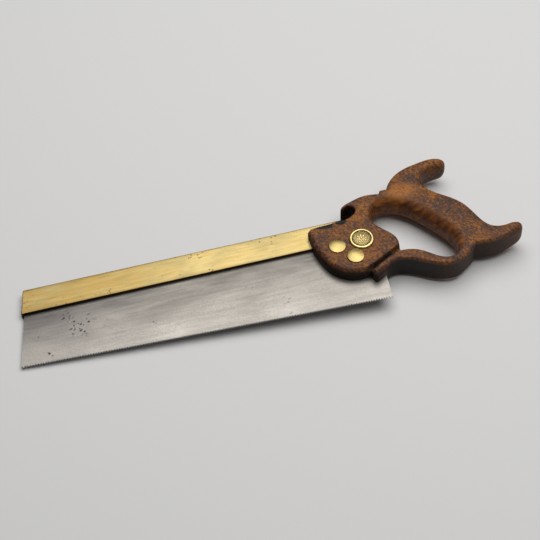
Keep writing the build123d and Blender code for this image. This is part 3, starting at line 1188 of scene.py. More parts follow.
@dataclass
class Handle:
    """The closed wooden handle with its two horns, moulding, notch and worn grip."""

    frame: SawFrame
    half: float = 12.3
    outline_spacing: float = 0.9
    grid: float = 1.0
    rings: tuple[float, ...] = (0.05, 0.18, 0.42, 0.8, 1.3, 1.9, 2.6)
    wall_rows: int = 6
    groove_depth: float = 3.4
    wear: float = 0.12
    outer_curves: tuple[OutlinePart, ...] = (
        OutlinePart(((253.3, 50.0), (253.0, 62.6))),
        OutlinePart(((253.0, 62.6), (256.2, 65.2))),
        OutlinePart(((256.2, 65.2), (285.9, 66.4))),
        OutlinePart(
            ((285.9, 66.4), (292.4, 68.7), (296.2, 71.7), (297.3, 74.6)),
            (0.95, 0.2), (0.1, 1.0),
        ),
        OutlinePart(
            ((297.3, 74.6), (296.6, 77.6), (294.4, 79.8), (291.6, 80.2), (288.6, 79.0)),
            (0.0, 1.0), (-0.9, -0.6),
        ),
        OutlinePart(((288.6, 79.0), (285.1, 76.6))),
        OutlinePart(
            ((285.1, 76.6), (287.6, 80.6), (295.6, 84.6), (308.5, 87.6), (321.1, 85.9)),
            (0.2, 1.0), (1.0, -0.2),
        ),
        OutlinePart(((321.1, 85.9), (322.8, 89.0))),
        OutlinePart(((322.8, 89.0), (328.8, 89.3))),
        OutlinePart(
            (
                (328.8, 89.3), (335.0, 98.7), (346.2, 106.6), (361.0, 111.0), (375.0, 113.3),
                (383.4, 111.2), (386.9, 106.6), (384.0, 103.2), (378.5, 102.2),
            ),
            (0.4, 1.0), (-1.0, -0.1),
        ),
        OutlinePart(
            ((378.5, 102.2), (369.5, 100.6), (361.6, 94.0), (361.8, 84.0)),
            (-1.0, -0.1), (0.3, -1.0),
        ),
        OutlinePart(
            (
                (361.8, 84.0), (371.6, 75.2), (386.2, 61.8), (394.5, 44.0), (403.8, 29.0),
                (415.0, 28.0), (423.4, 28.4), (427.8, 24.6), (425.6, 20.4), (419.5, 17.4),
            ),
            (0.8, -0.9), (-1.0, -0.35),
        ),
        OutlinePart(
            ((419.5, 17.4), (409.0, 14.6), (396.5, 13.4), (383.4, 14.6)),
            (-1.0, -0.3), (-1.0, 0.1),
        ),
        OutlinePart(
            (
                (383.4, 14.6), (376.5, 7.6), (362.0, 0.4), (345.0, 4.2), (334.0, 10.4),
                (322.0, 15.6), (312.6, 15.6), (305.4, 9.8), (299.1, 6.0), (296.6, 5.0),
            ),
            (-0.5, -0.85), (-1.0, -0.15),
        ),
        OutlinePart(((296.6, 5.0), (295.2, 5.9), (292.9, 11.5)), (-1.0, 0.1), (-0.3, 1.0)),
        OutlinePart(
            ((292.9, 11.5), (279.2, 11.6), (263.3, 21.6), (255.2, 40.0), (253.3, 50.0)),
            (-1.0, -0.1), (0.0, 1.0),
        ),
    )
    hole_curves: tuple[OutlinePart, ...] = (
        OutlinePart(
            (
                (321.6, 23.8), (322.9, 31.5), (322.2, 39.8), (315.8, 47.8), (310.8, 55.2),
                (312.6, 69.5), (323.5, 76.0),
            ),
            (0.0, 1.0), (1.0, 0.0),
        ),
        OutlinePart(
            ((323.5, 76.0), (339.3, 68.8), (355.2, 50.4), (367.0, 32.0), (369.6, 20.0)),
            (1.0, 0.0), (0.0, -1.0),
        ),
        OutlinePart(
            (
                (369.6, 20.0), (365.6, 9.8), (357.6, 7.3), (346.4, 13.3), (336.0, 20.8),
                (321.6, 23.8),
            ),
            (0.0, -1.0), (-1.0, 0.0),
        ),
    )
    # the last number on each mark is how dark its wall is painted: dark varnish mixed with
    # painted shade, darkest on the walls that face away from the light
    outer_marks: tuple[EdgeMark, ...] = (
        EdgeMark(253.3, 62.6, 2.0, 2.2, 1.1, 0.9),
        EdgeMark(253.3, 55.0, 2.8, 3.6, 1.08, 0.9),
        EdgeMark(255.2, 40.0, 3.4, 4.6, 1.08, 0.9),
        EdgeMark(263.3, 21.6, 3.7, 5.2, 1.08, 0.95),
        EdgeMark(279.2, 11.6, 3.7, 5.2, 1.08, 0.95),
        EdgeMark(290.5, 11.2, 3.6, 5.0, 1.08, 0.95),
        EdgeMark(293.0, 11.0, 2.2, 3.4, 1.3, 0.95),
        EdgeMark(295.4, 5.8, 2.6, 4.0, 1.3, 0.95),
        EdgeMark(299.1, 6.0, 3.6, 5.0, 1.25, 0.9),
        EdgeMark(305.4, 9.8, 3.2, 4.6, 1.25, 0.8),
        EdgeMark(311.0, 14.6, 1.8, 2.6, 1.4, 0.95),
        EdgeMark(318.0, 16.3, 0.9, 1.2, 1.5, 1.0),
        EdgeMark(329.0, 12.9, 0.9, 1.1, 1.6, 1.0),
        EdgeMark(346.0, 4.0, 1.4, 1.6, 1.7, 0.95),
        EdgeMark(362.0, 0.4, 2.2, 2.4, 1.8, 0.85),
        EdgeMark(375.0, 7.4, 2.6, 2.8, 1.8, 0.8),
        EdgeMark(381.0, 13.0, 1.6, 1.8, 1.6, 0.9),
        EdgeMark(383.5, 13.6, 1.2, 1.4, 1.5, 0.9),
        EdgeMark(396.0, 13.0, 1.4, 1.8, 1.5, 0.85),
        EdgeMark(409.5, 14.6, 1.8, 2.6, 1.6, 0.7),
        EdgeMark(422.0, 18.4, 4.4, 8.0, 2.0, 0.4),
        EdgeMark(427.4, 22.8, 5.2, 9.5, 2.0, 0.3),
        EdgeMark(421.5, 27.0, 4.6, 8.5, 2.0, 0.2),
        EdgeMark(403.8, 29.2, 4.0, 5.0, 2.0, 0.3),
        EdgeMark(394.5, 44.0, 6.0, 6.5, 2.0, 0.3),
        EdgeMark(386.2, 61.8, 7.0, 8.0, 2.0, 0.2),
        EdgeMark(371.6, 75.2, 7.0, 8.5, 2.0, 0.2),
        EdgeMark(361.8, 84.0, 5.5, 7.5, 2.0, 0.3),
        EdgeMark(361.2, 94.5, 4.5, 7.5, 2.0, 0.3),
        EdgeMark(370.5, 102.0, 5.0, 9.0, 2.0, 0.2),
        EdgeMark(380.5, 103.9, 5.0, 10.5, 2.0, 0.15),
        EdgeMark(386.4, 107.2, 5.4, 11.0, 2.0, 0.15),
        EdgeMark(379.0, 111.6, 5.0, 10.5, 2.0, 0.1),
        EdgeMark(362.0, 110.8, 4.4, 7.0, 2.0, 0.1),
        EdgeMark(346.2, 106.6, 4.0, 5.5, 2.0, 0.2),
        EdgeMark(330.0, 92.0, 3.0, 4.0, 2.0, 0.3),
        EdgeMark(322.8, 89.0, 1.6, 2.0, 1.8, 0.5),
        EdgeMark(321.1, 85.9, 1.6, 2.0, 1.8, 0.5),
        EdgeMark(308.5, 87.4, 2.4, 3.0, 2.0, 0.2),
        EdgeMark(295.6, 84.0, 2.6, 3.2, 2.0, 0.2),
        EdgeMark(286.5, 78.5, 1.4, 1.6, 1.8, 0.6),
        EdgeMark(289.5, 79.2, 0.7, 0.7, 1.5, 0.95),
        EdgeMark(297.2, 74.4, 0.7, 0.7, 1.5, 0.95),
        EdgeMark(285.3, 66.3, 0.8, 0.8, 1.5, 0.8),
        EdgeMark(270.0, 65.2, 0.9, 0.9, 1.5, 0.6),
    )
    hole_marks: tuple[EdgeMark, ...] = (
        EdgeMark(321.6, 23.8, 1.4, 1.6, 1.6, 0.8),
        EdgeMark(322.9, 31.5, 2.0, 3.4, 1.1, 0.9),
        EdgeMark(322.4, 39.4, 1.8, 3.0, 1.1, 0.9),
        EdgeMark(315.8, 47.8, 1.4, 2.2, 1.2, 0.8),
        EdgeMark(311.0, 53.0, 1.6, 3.0, 1.2, 0.6),
        EdgeMark(310.6, 58.0, 3.2, 6.5, 1.15, 0.55),
        EdgeMark(310.9, 64.0, 4.6, 9.0, 1.12, 0.5),
        EdgeMark(312.9, 70.0, 5.2, 9.6, 1.12, 0.35),
        EdgeMark(317.0, 74.4, 5.4, 9.8, 1.3, 0.15),
        EdgeMark(323.5, 76.0, 6.0, 10.0, 1.7),
        EdgeMark(339.3, 68.8, 8.5, 10.5, 2.0),
        EdgeMark(355.2, 50.4, 8.5, 10.5, 2.0),
        EdgeMark(367.0, 32.0, 8.0, 10.0, 2.0),
        EdgeMark(369.6, 20.0, 6.5, 7.5, 2.0),
        EdgeMark(366.0, 11.0, 3.5, 4.0, 2.0, 0.2),
        EdgeMark(357.6, 7.3, 2.0, 2.4, 1.9, 0.4),
        EdgeMark(346.4, 13.3, 1.8, 2.0, 1.8, 0.5),
        EdgeMark(336.0, 20.8, 1.6, 1.8, 1.7, 0.6),
    )
    groove_line: tuple[Point2, ...] = (
        (288.0, 9.6), (294.0, 13.2), (299.8, 16.0), (305.3, 18.8), (309.6, 21.2), (314.1, 23.2),
        (318.6, 25.4), (326.0, 29.0),
    )
    groove_halves: tuple[float, ...] = (2.6, 2.5, 2.2, 2.1, 2.1, 2.4, 2.8, 3.0)
    groove_steps: int = 60
    groove_shares: tuple[float, ...] = (
        -1.02, -0.98, -0.8, -0.55, -0.25, 0.1, 0.35, 0.55, 0.62, 0.7, 0.8, 0.9, 1.0, 1.03
    )
    groove_offsets: tuple[float, ...] = (-4.4, -3.9, -3.3, -2.8, 2.8, 3.3, 3.9, 4.4)
    run_out: float = 5.2
    probe: float = 0.02
    evening_x: tuple[float, float] = (318.0, 326.0)
    evening_passes: int = 8
    bead_line: tuple[Point2, ...] = (
        (297.4, 9.6), (300.2, 12.4), (303.6, 15.2), (307.4, 17.2), (311.6, 18.9), (316.6, 20.3),
        (322.0, 20.9),
    )
    bead_half: float = 1.35
    bead_sink: float = 2.4
    bead_crown: float = 0.25
    bead_step: float = 0.9
    bead_band: float = 5.0
    chips: tuple[tuple[Point2, ...], ...] = (
        (
            (259.6, 64.0), (263.6, 62.0), (268.7, 61.2), (273.3, 61.0), (274.6, 63.6),
            (274.8, 68.0), (259.2, 68.0),
        ),
        (
            (277.3, 63.8), (279.6, 62.3), (283.3, 61.5), (285.8, 63.2), (286.6, 66.2),
            (287.6, 70.0), (277.0, 70.0),
        ),
    )
    chip_depth: float = 1.5
    mortise: tuple[Point2, ...] = (
        (250.0, 49.95), (292.3, 49.95), (292.3, 76.5), (250.0, 76.5),
    )
    mortise_half: float = 3.56
    kerf: tuple[Point2, ...] = (
        (250.0, -20.0), (306.4, -20.0), (306.4, 22.7), (300.3, 60.2), (290.0, 66.4),
        (250.0, 66.4),
    )
    kerf_half: float = 0.46
    neck_bore: float = 3.9
    shank_bore: float = 2.5
    held_line: tuple[Point2, ...] = (
        (318.0, 76.0), (330.0, 76.0), (345.0, 66.0), (358.0, 50.0), (368.0, 33.0),
        (371.0, 20.0),
    )
    horn_root: Point2 = (340.0, 83.0)
    horn_root_reach: Point2 = (14.0, 8.0)

    def outline(self) -> tuple[np.ndarray, np.ndarray]:
        """Returns the outer outline and the hand hole's, drawn as fair curves."""
        made = []
        for parts in (self.outer_curves, self.hole_curves):
            made.append(np.vstack([part.points()[:-1] for part in parts]))
        return made[0], made[1]

    @staticmethod
    def spread(loop: np.ndarray, marks: tuple[EdgeMark, ...]) -> np.ndarray:
        """Returns reach, drop, fullness and stain at every point of an outline."""
        places = np.array([(m.x, m.y) for m in marks])
        _, at, _ = nearest_on(places, loop, True)
        order = np.argsort(at)
        values = np.array([(m.reach, m.drop, m.fullness, m.stain_and_shade) for m in marks])[order]
        at = at[order]
        count = len(loop)
        at = np.concatenate((at - count, at, at + count))
        values = np.vstack((values,) * 3)
        step = np.arange(count)
        found = np.stack([np.interp(step, at, values[:, k]) for k in range(4)], 1)
        for _ in range(3):
            found = (np.roll(found, 1, 0) + 2 * found + np.roll(found, -1, 0)) / 4
        return found

    def groove(self, points: np.ndarray) -> np.ndarray:
        """Returns how deep the moulding's groove is at each plane point."""
        line = np.array(self.groove_line)
        distance, place, side = nearest_on(points, line, False)
        half = np.interp(place, range(len(line)), self.groove_halves)
        across = side * distance / half
        cove = np.sin(np.clip((across + 1) / 1.55, 0, 1) * math.pi / 2) ** 1.3
        wall = smooth_step(1.0, 0.62, across)
        within = (across > -1) & (across < 1)
        return np.where(within, self.groove_depth * cove * wall, 0.0)

    def beside_bead(self, points: np.ndarray) -> np.ndarray:
        """Returns how far the face is sunk along the bead and on its outer side."""
        line = np.array(self.bead_line)
        distance, place, side = nearest_on(points, line, False)
        share = place / (len(line) - 1)
        off = side * distance
        sink = (1.0 - share) ** 0.8 * self.bead_sink
        outer = smooth_step(-self.bead_half * 0.6, -self.bead_half * 1.2, off)
        crown = self.bead_crown * np.clip(distance / self.bead_half, 0, 1) ** 2
        near = (distance < self.bead_band) & (place > 0.001) & (place < len(line) - 1.001)
        rounded = crown * (distance < self.bead_half)
        fall = sink * 0.6 + rounded + self.bead_step * outer * (1 - share)
        return np.where(near, fall, 0.0)

    def drop(self, points: np.ndarray, loops: list[np.ndarray], work: list) -> np.ndarray:
        """Returns how far the edge's rounding lies below the face at each point."""
        total = np.zeros(len(points))
        for loop, values in zip(loops, work):
            distance, place, _ = nearest_on(points, loop, True)
            count = len(loop)
            at = np.arange(count + 1)
            reach, deep, full = (
                np.interp(place, at, np.append(values[:, k], values[0, k]))
                for k in range(3)
            )
            u = np.clip(distance / reach, 0, 1)
            fall = deep * (1 - (1 - (1 - u) ** full) ** (1 / full))
            total = (total**3 + fall**3) ** (1 / 3)
        return total

    def plan_points(self, loops: list[np.ndarray]) -> np.ndarray:
        """Returns the points inside the outline that the faces are made from."""
        made = []
        for loop in loops:
            inward = left_of(loop)
            if between(loop + self.probe * inward, loops).mean() < 0.5:
                inward = -inward
            for distance in self.rings:
                made.append((loop + inward * distance, distance))
        low, high = loops[0].min(0), loops[0].max(0)
        rows = np.arange(low[1], high[1], self.grid * math.sqrt(0.75))
        grid = [
            (x + (self.grid / 2 if r % 2 else 0), y)
            for r, y in enumerate(rows)
            for x in np.arange(low[0], high[0], self.grid)
        ]
        made.append((np.array(grid), self.rings[-1] + 0.6 * self.grid))
        kept = []
        for points, least in made:
            points = points[between(points, loops)]
            kept.append(points[edge_gap(points, loops) > 0.97 * least])
        plan = np.vstack(kept)
        line = np.array(self.groove_line)
        distance, _, _ = nearest_on(plan, line, False)
        plan = plan[distance > self.groove_offsets[-1]]
        extra = self.groove_points(line, loops)
        near = [nearest_on(loop, line, False)[0] < self.run_out for loop in loops]
        return self.thinned(np.vstack((extra, plan, *self.rim_rings(loops, near))))

    def groove_points(self, line: np.ndarray, loops: list[np.ndarray]) -> np.ndarray:
        """Returns rows of points along the groove, close where its wall is steep."""
        extra = []
        stations = range(len(line))
        steps = np.linspace(0, len(line) - 1, self.groove_steps)
        centre = np.stack([np.interp(steps, stations, line[:, k]) for k in (0, 1)], 1)
        along = np.gradient(centre, axis=0)
        across = np.stack((-along[:, 1], along[:, 0]), 1)
        across /= np.linalg.norm(across, axis=1, keepdims=True)
        half = np.interp(steps, stations, self.groove_halves)[:, None]
        for share in self.groove_shares:
            extra.append(centre + across * half * share)
        for offset in self.groove_offsets:
            clear = np.abs(offset) > half[:, 0] + 0.3
            extra.append((centre + across * offset)[clear])
        extra = np.vstack(extra)
        extra = extra[between(extra, loops)]
        return extra[edge_gap(extra, loops) > 0.12]

    def rim_rings(self, loops: list[np.ndarray], near: list[np.ndarray]) -> list:
        """Returns close rings where the groove runs out through the outline."""
        made = []
        for loop, pick in zip(loops, near):
            across = left_of(loop)
            for sign in (1, -1):
                for distance in self.rings[:5]:
                    points = (loop + sign * across * distance)[pick]
                    points = points[between(points, loops)]
                    if len(points):
                        made.append(points[edge_gap(points, loops) > 0.95 * distance])
        return made

    @staticmethod
    def thinned(points: np.ndarray, apart: float = 0.09) -> np.ndarray:
        """Drops points that lie in the same small square as an earlier one."""
        cells = np.floor(points / apart).astype(int)
        _, first = np.unique(cells, axis=0, return_index=True)
        return points[np.sort(first)]

    def build(self) -> bpy.types.Object:
        """Returns the closed handle in the flat axes, before anything is let into it."""
        loops = [resample(loop, self.outline_spacing) for loop in self.outline()]
        work = [
            self.spread(loops[0], self.outer_marks),
            self.spread(loops[1], self.hole_marks),
        ]
        self.loops, self.worked = loops, work
        border = np.vstack(loops)
        plan = np.vstack((border, self.plan_points(loops)))
        n0, n1 = len(loops[0]), len(loops[1])
        edges = [(i, (i + 1) % n0) for i in range(n0)]
        edges += [(n0 + i, n0 + (i + 1) % n1) for i in range(n1)]
        found = geometry.delaunay_2d_cdt(
            [Vector(p) for p in plan], edges, [], 0, 1e-6, True
        )
        places = np.array([tuple(v) for v in found[0]])
        source = {}
        for new, olds in enumerate(found[3]):
            for old in olds:
                source[old] = new
        triangles = np.array(found[2])
        centres = places[triangles].mean(1)
        triangles = triangles[between(centres, loops)]
        used = np.unique(triangles)
        renumber = np.full(len(places), -1)
        renumber[used] = np.arange(len(used))
        triangles = renumber[triangles]
        places = places[used]
        rim = [
            [int(renumber[source[i]]) for i in range(n0)],
            [int(renumber[source[n0 + i]]) for i in range(n1)],
        ]
        below = self.drop(places, loops, work)
        below = self.evened(below, triangles, places, loops)
        groove = self.groove(places)
        face = self.half - np.maximum(below, groove)
        face -= self.beside_bead(places) * (below < 1.0)
        face += self.wear * ripple(np.column_stack((places, 0 * face)), 9.0, 5.0) - self.wear
        sides = {side: face.copy() for side in SawSide}
        return self.shell(places, triangles, rim, sides)

    def evened(
        self, below: np.ndarray, triangles: np.ndarray, places: np.ndarray, loops: list
    ) -> np.ndarray:
        """Smooths the creases where two roundings meet, off the edges and behind the cheek."""
        pairs = np.vstack((triangles[:, :2], triangles[:, 1:], triangles[:, ::2]))
        pairs = np.vstack((pairs, pairs[:, ::-1]))
        count = np.bincount(pairs[:, 0], minlength=len(below)).astype(float)
        free = smooth_step(1.2, 3.0, edge_gap(places, loops))
        free = free * smooth_step(*self.evening_x, places[:, 0])
        for _ in range(self.evening_passes):
            mean = np.bincount(pairs[:, 0], below[pairs[:, 1]], len(below)) / count
            below = below + 0.5 * free * (mean - below)
        return below

    def shell(
        self, places: np.ndarray, triangles: np.ndarray, rim: list, sides: dict
    ) -> bpy.types.Object:
        """Joins the two faces by walls and returns the closed solid."""
        count = len(places)
        points = [
            np.column_stack((places, sides[SawSide.LEFT])),
            np.column_stack((places, -sides[SawSide.RIGHT])),
        ]
        faces = [tuple(t) for t in triangles.tolist()]
        faces += [tuple(count + v for v in reversed(t)) for t in triangles.tolist()]
        total = 2 * count
        for loop in rim:
            top = sides[SawSide.LEFT][loop]
            low = -sides[SawSide.RIGHT][loop]
            rows = [np.array(loop)]
            for r in range(1, self.wall_rows):
                share = r / self.wall_rows
                height = top + (low - top) * share
                points.append(np.column_stack((places[loop], height)))
                rows.append(np.arange(total, total + len(loop)))
                total += len(loop)
            rows.append(np.array(loop) + count)
            columns = np.stack(rows)
            for upper, lower in zip(columns[:-1].tolist(), columns[1:].tolist()):
                for i in range(len(loop)):
                    j = (i + 1) % len(loop)
                    faces.append((upper[i], upper[j], lower[j], lower[i]))
        return object_from("handle_shaped", np.vstack(points), faces)

    def let_in(self, handle: bpy.types.Object, bolts: list[BoltSize]) -> None:
        """Cuts the mortise, the kerf, the two chips and the bolt holes."""
        wide, thin = self.mortise_half, self.kerf_half
        cut_out(handle, block("mortise", list(self.mortise), -wide, wide))
        cut_out(handle, block("kerf", list(self.kerf), -thin, thin))
        low = self.half - self.chip_depth
        for chip in self.chips:
            cut_out(handle, block("chip", list(chip), low, self.half + 2.0))
        for bolt in bolts:
            radius = bolt.head / 2 + 0.16
            seat = self.half - bolt.seat
            tools = (
                (disc_outline(bolt.centre, radius), seat, self.half + 3.0),
                (disc_outline(bolt.centre, self.neck_bore), seat - bolt.neck_length, seat + 0.5),
                (disc_outline(bolt.centre, self.shank_bore), -self.half - 3.0, seat - 6.0),
                (
                    disc_outline(bolt.centre, bolt.nut / 2 + 0.1),
                    -self.half - 3.0,
                    -self.half + bolt.nut_sink + bolt.nut_thickness + 0.1,
                ),
            )
            for shape, low, high in tools:
                cut_out(handle, block("bore", shape, low, high))

    def stain_and_shade_at(self, plan: np.ndarray) -> tuple[np.ndarray, np.ndarray]:
        """Returns how dark the nearest wall is at each plane point, and how far off."""
        gaps, stains_and_shades = [], []
        for loop, values in zip(self.loops, self.worked):
            gap, place, _ = nearest_on(plan, loop, True)
            stain_and_shade = np.append(values[:, 3], values[0, 3])
            gaps.append(gap)
            stains_and_shades.append(np.interp(place, np.arange(len(stain_and_shade)), stain_and_shade))
        return np.where(gaps[0] < gaps[1], stains_and_shades[0], stains_and_shades[1]), np.minimum(*gaps)

    def paint(self, handle: bpy.types.Object) -> None:
        """Stores where the wood is polished by the hand, where the horn's root is a lighter
        orange, and where it is darkened by soiling and dark varnish mixed with painted shade.
        """
        flat = self.frame.flatten(coordinates(handle.data))
        plan = flat[:, :2]
        distance, _, _ = nearest_on(plan, np.array(self.held_line), False)
        polish = smooth_step(9.5, 3.0, distance)
        root = np.linalg.norm((plan - self.horn_root) / self.horn_root_reach, axis=1)
        # a brighter orange at the horn's root
        orange_horn_root = 0.9 * smooth_step(1.5, 0.3, root)
        polish = np.maximum(polish, 0.75 * smooth_step(1.3, 0.3, root))
        high = np.abs(flat[:, 2])
        # the groove darkened: soiling mixed with painted shade in its hollow
        groove = self.groove(plan) / self.groove_depth
        grime_and_shade = 0.7 * smooth_step(0.35, 1.0, groove) * (high > self.half - 5)
        # walls painted dark: dark varnish mixed with painted shade, darkest where the outline's
        # walls face away from the light
        wall = smooth_step(self.half - 1.0, self.half - 4.2, high)
        # painted shade low on the handle: on the side that lies towards the floor, the whole
        # wall and the rim of the face are darkened
        under = smooth_step(self.half - 0.3, self.half - 0.9, high)
        stain_and_shade, gap = self.stain_and_shade_at(plan)
        under = np.maximum(under, smooth_step(1.9, 0.9, gap))
        wall = np.where(flat[:, 2] < 0, under, wall)
        grime_and_shade = np.maximum(grime_and_shade, wall * stain_and_shade)
        # the chip hollows coloured fully dark: painted shadow, with some soiling
        for chip in self.chips:
            ring = np.array(chip)
            hollow = inside(plan, ring) | (nearest_on(plan, ring, True)[0] < 0.2)
            hollow &= (flat[:, 2] < self.half - 0.5) & (flat[:, 2] > self.half - 4)
            grime_and_shade = np.where(hollow, 1.0, grime_and_shade)
        for name, values in (("polish", polish), ("orange_horn_root", orange_horn_root), ("grime_and_shade", grime_and_shade)):
            keep(handle.data, name, values)

    def dress(self, wood: bpy.types.Material, bolts: list[BoltSize]) -> bpy.types.Object:
        """Builds, lets in, finishes and places the handle."""
        handle = self.build()
        self.let_in(handle, bolts)
        handle.data.materials.clear()
        handle.data.materials.append(wood)
        soften(handle.data, 42.0)
        self.frame.place(handle.data)
        self.paint(handle)
        return fitted(handle, ["handle"])


# ---------------------------------------------------------------- the saw bolts


@dataclass
class BoltSize:
    """Sizes of one saw bolt and its nut, in mm."""

    centre: Point2
    head: float = 14.3
    nut: float = 11.0
    face: float = 12.3
    seat: float = 1.2
    rim: float = 0.7
    rise: float = 1.1
    neck: float = 5.4
    neck_length: float = 8.0
    shank: float = 4.9
    nut_thickness: float = 3.0
    nut_sink: float = 0.3

    def stem(self) -> list[Ring]:
        """Returns the rings under the head: seat, square neck and round shank."""
        seat = self.face - self.seat
        neck_end = seat - self.neck_length
        end = -self.face + self.nut_sink
        return [
            Ring(self.head / 2, seat + 0.1),
            Ring(self.head / 2 - 0.1, seat),
            Ring(self.neck / 2, seat, 1.0),
            Ring(self.neck / 2, seat - 0.02, 1.0),
            Ring(self.neck / 2, neck_end + 0.02, 1.0),
            Ring(self.neck / 2, neck_end, 1.0),
            Ring(self.shank / 2, neck_end - 0.02),
            Ring(self.shank / 2, neck_end - 0.05),
            Ring(self.shank / 2, end + 0.25),
            Ring(self.shank / 2 - 0.2, end),
        ]


@dataclass
class DomedBolt:
    """A small smooth domed bolt."""

    frame: SawFrame
    size: BoltSize
    node: str

    def dress(self, brass: bpy.types.Material) -> bpy.types.Object:
        """Builds, finishes and places the bolt."""
        s = self.size
        radius = s.head / 2
        rim = s.face + s.rim
        rings = [
            Ring(radius * 0.96 * t, rim + s.rise * (1 - (0.96 * t) ** 2))
            for t in (0.04, 0.12, 0.22, 0.34, 0.46, 0.58, 0.7, 0.8, 0.88, 0.94, 1.0)
        ]
        rings += [
            Ring(radius * 0.985, rim),
            Ring(radius, rim - 0.2),
            Ring(radius, rim - 0.5),
        ]
        bolt = turned(self.node + "_domed", s.centre, [*rings, *s.stem()])
        bolt.data.materials.append(brass)
        soften(bolt.data, 40.0)
        self.frame.place(bolt.data)
        return fitted(bolt, [self.node])


@dataclass
class MedallionBolt:
    """The large bolt: a raised ring round a sunk field with a rosette and beads."""

    frame: SawFrame
    size: BoltSize
    node: str
    ring_width: float = 2.3
    recess: float = 0.85
    beads: int = 30
    petals: int = 8

    def body(self) -> bpy.types.Object:
        """Returns the turned bolt without its ornament."""
        s = self.size
        radius = s.head / 2
        top = s.face + s.rim + s.rise
        inner = radius - self.ring_width
        floor = top - self.recess
        rings = [
            Ring(0.3, floor + 0.28),
            Ring(1.2, floor + 0.26),
            Ring(2.4, floor + 0.2),
            Ring(3.8, floor + 0.1),
            Ring(5.2, floor + 0.02),
            Ring(5.55, floor - 0.02),
            Ring(5.7, floor + 0.22),
            Ring(5.95, floor + 0.22),
            Ring(6.1, floor - 0.02),
            Ring(inner - 0.35, floor - 0.12),
            Ring(inner - 0.12, floor - 0.1),
            Ring(inner + 0.02, top - 0.2),
            Ring(inner + 0.22, top - 0.02),
            Ring(inner + 0.8, top + 0.06),
            Ring(radius - 1.0, top - 0.02),
            Ring(radius - 0.45, top - 0.2),
            Ring(radius - 0.12, top - 0.55),
            Ring(radius, top - 1.0),
            Ring(radius, s.face - 0.2),
        ]
        return turned(self.node + "_rosette", s.centre, [*rings, *s.stem()], 128)

    def ornament(
        self, piece: bpy.types.Object, brass: bpy.types.Material
    ) -> None:
        """Adds the beads, petals and centre boss by Geometry Nodes."""
        s = self.size
        floor = s.face + s.rim + s.rise - self.recess
        tree = bpy.data.node_groups.new("rosette", "GeometryNodeTree")
        face = tree.interface
        face.new_socket("Geometry", in_out="INPUT", socket_type="NodeSocketGeometry")
        values = {
            "Beads": (self.beads, "NodeSocketInt"),
            "Petals": (self.petals, "NodeSocketInt"),
            "Bead ring": (6.95, "NodeSocketFloat"),
            "Petal ring": (3.55, "NodeSocketFloat"),
            "Bead size": (0.52, "NodeSocketFloat"),
            "Petal size": (0.85, "NodeSocketFloat"),
            "Boss size": (1.35, "NodeSocketFloat"),
            "Centre": ((*s.centre, floor), "NodeSocketVector"),
            "Brass": (brass, "NodeSocketMaterial"),
        }
        ids = {
            name: face.new_socket(name, in_out="INPUT", socket_type=kind).identifier
            for name, (_, kind) in values.items()
        }
        face.new_socket("Geometry", in_out="OUTPUT", socket_type="NodeSocketGeometry")
        build = GeometrySheet(tree)
        join = build.add("GeometryNodeJoinGeometry")
        build.link(build.input("Geometry"), join.inputs[0])
        layers = (
            ("Beads", "Bead ring", "Bead size", (1.0, 1.0, 0.8), 0.05),
            ("Petals", "Petal ring", "Petal size", (1.75, 0.95, 0.55), 0.1),
            ("Petals", "Bead ring", "Bead size", (1.15, 1.5, 0.9), 0.05),
        )
        for count, ring, size, stretch, lift in layers:
            circle = build.add("GeometryNodeMeshCircle", fill_type="NONE")
            build.link(build.input(count), circle.inputs["Vertices"])
            build.link(build.input(ring), circle.inputs["Radius"])
            seed = build.add("GeometryNodeMeshUVSphere")
            seed.inputs["Segments"].default_value = 14
            seed.inputs["Rings"].default_value = 8
            build.link(build.input(size), seed.inputs["Radius"])
            spot = build.add("GeometryNodeInputPosition").outputs[0]
            x, y, _ = build.split(spot)
            angle = build.math("ARCTAN2", y, x)
            drop = build.add("GeometryNodeInstanceOnPoints")
            build.link(circle.outputs[0], drop.inputs["Points"])
            build.link(seed.outputs[0], drop.inputs["Instance"])
            build.link(build.vector(0.0, 0.0, angle), drop.inputs["Rotation"])
            drop.inputs["Scale"].default_value = stretch
            build.link(self.moved(build, drop.outputs[0], lift), join.inputs[0])
        boss = build.add("GeometryNodeMeshUVSphere")
        boss.inputs["Segments"].default_value = 32
        boss.inputs["Rings"].default_value = 16
        build.link(build.input("Boss size"), boss.inputs["Radius"])
        flat = build.add("GeometryNodeTransform")
        build.link(boss.outputs[0], flat.inputs[0])
        flat.inputs["Scale"].default_value = (1.0, 1.0, 0.6)
        build.link(self.moved(build, flat.outputs[0], 0.25), join.inputs[0])
        build.end(join.outputs[0], build.input("Brass"))
        change = piece.modifiers.new("rosette", "NODES")
        change.node_group = tree
        for name, (value, _) in values.items():
            change[ids[name]] = value
        baked(piece)

    @staticmethod
    def moved(
        build: GeometrySheet, made: bpy.types.NodeSocket, lift: float
    ) -> bpy.types.NodeSocket:
        """Returns geometry moved to the bolt's centre and lifted a little."""
        shift = build.add("GeometryNodeTransform")
        raised = build.add("ShaderNodeVectorMath", operation="ADD")
        build.link(build.input("Centre"), raised.inputs[0])
        raised.inputs[1].default_value = (0.0, 0.0, lift)
        build.link(made, shift.inputs[0])
        build.link(raised.outputs[0], shift.inputs["Translation"])
        return shift.outputs[0]

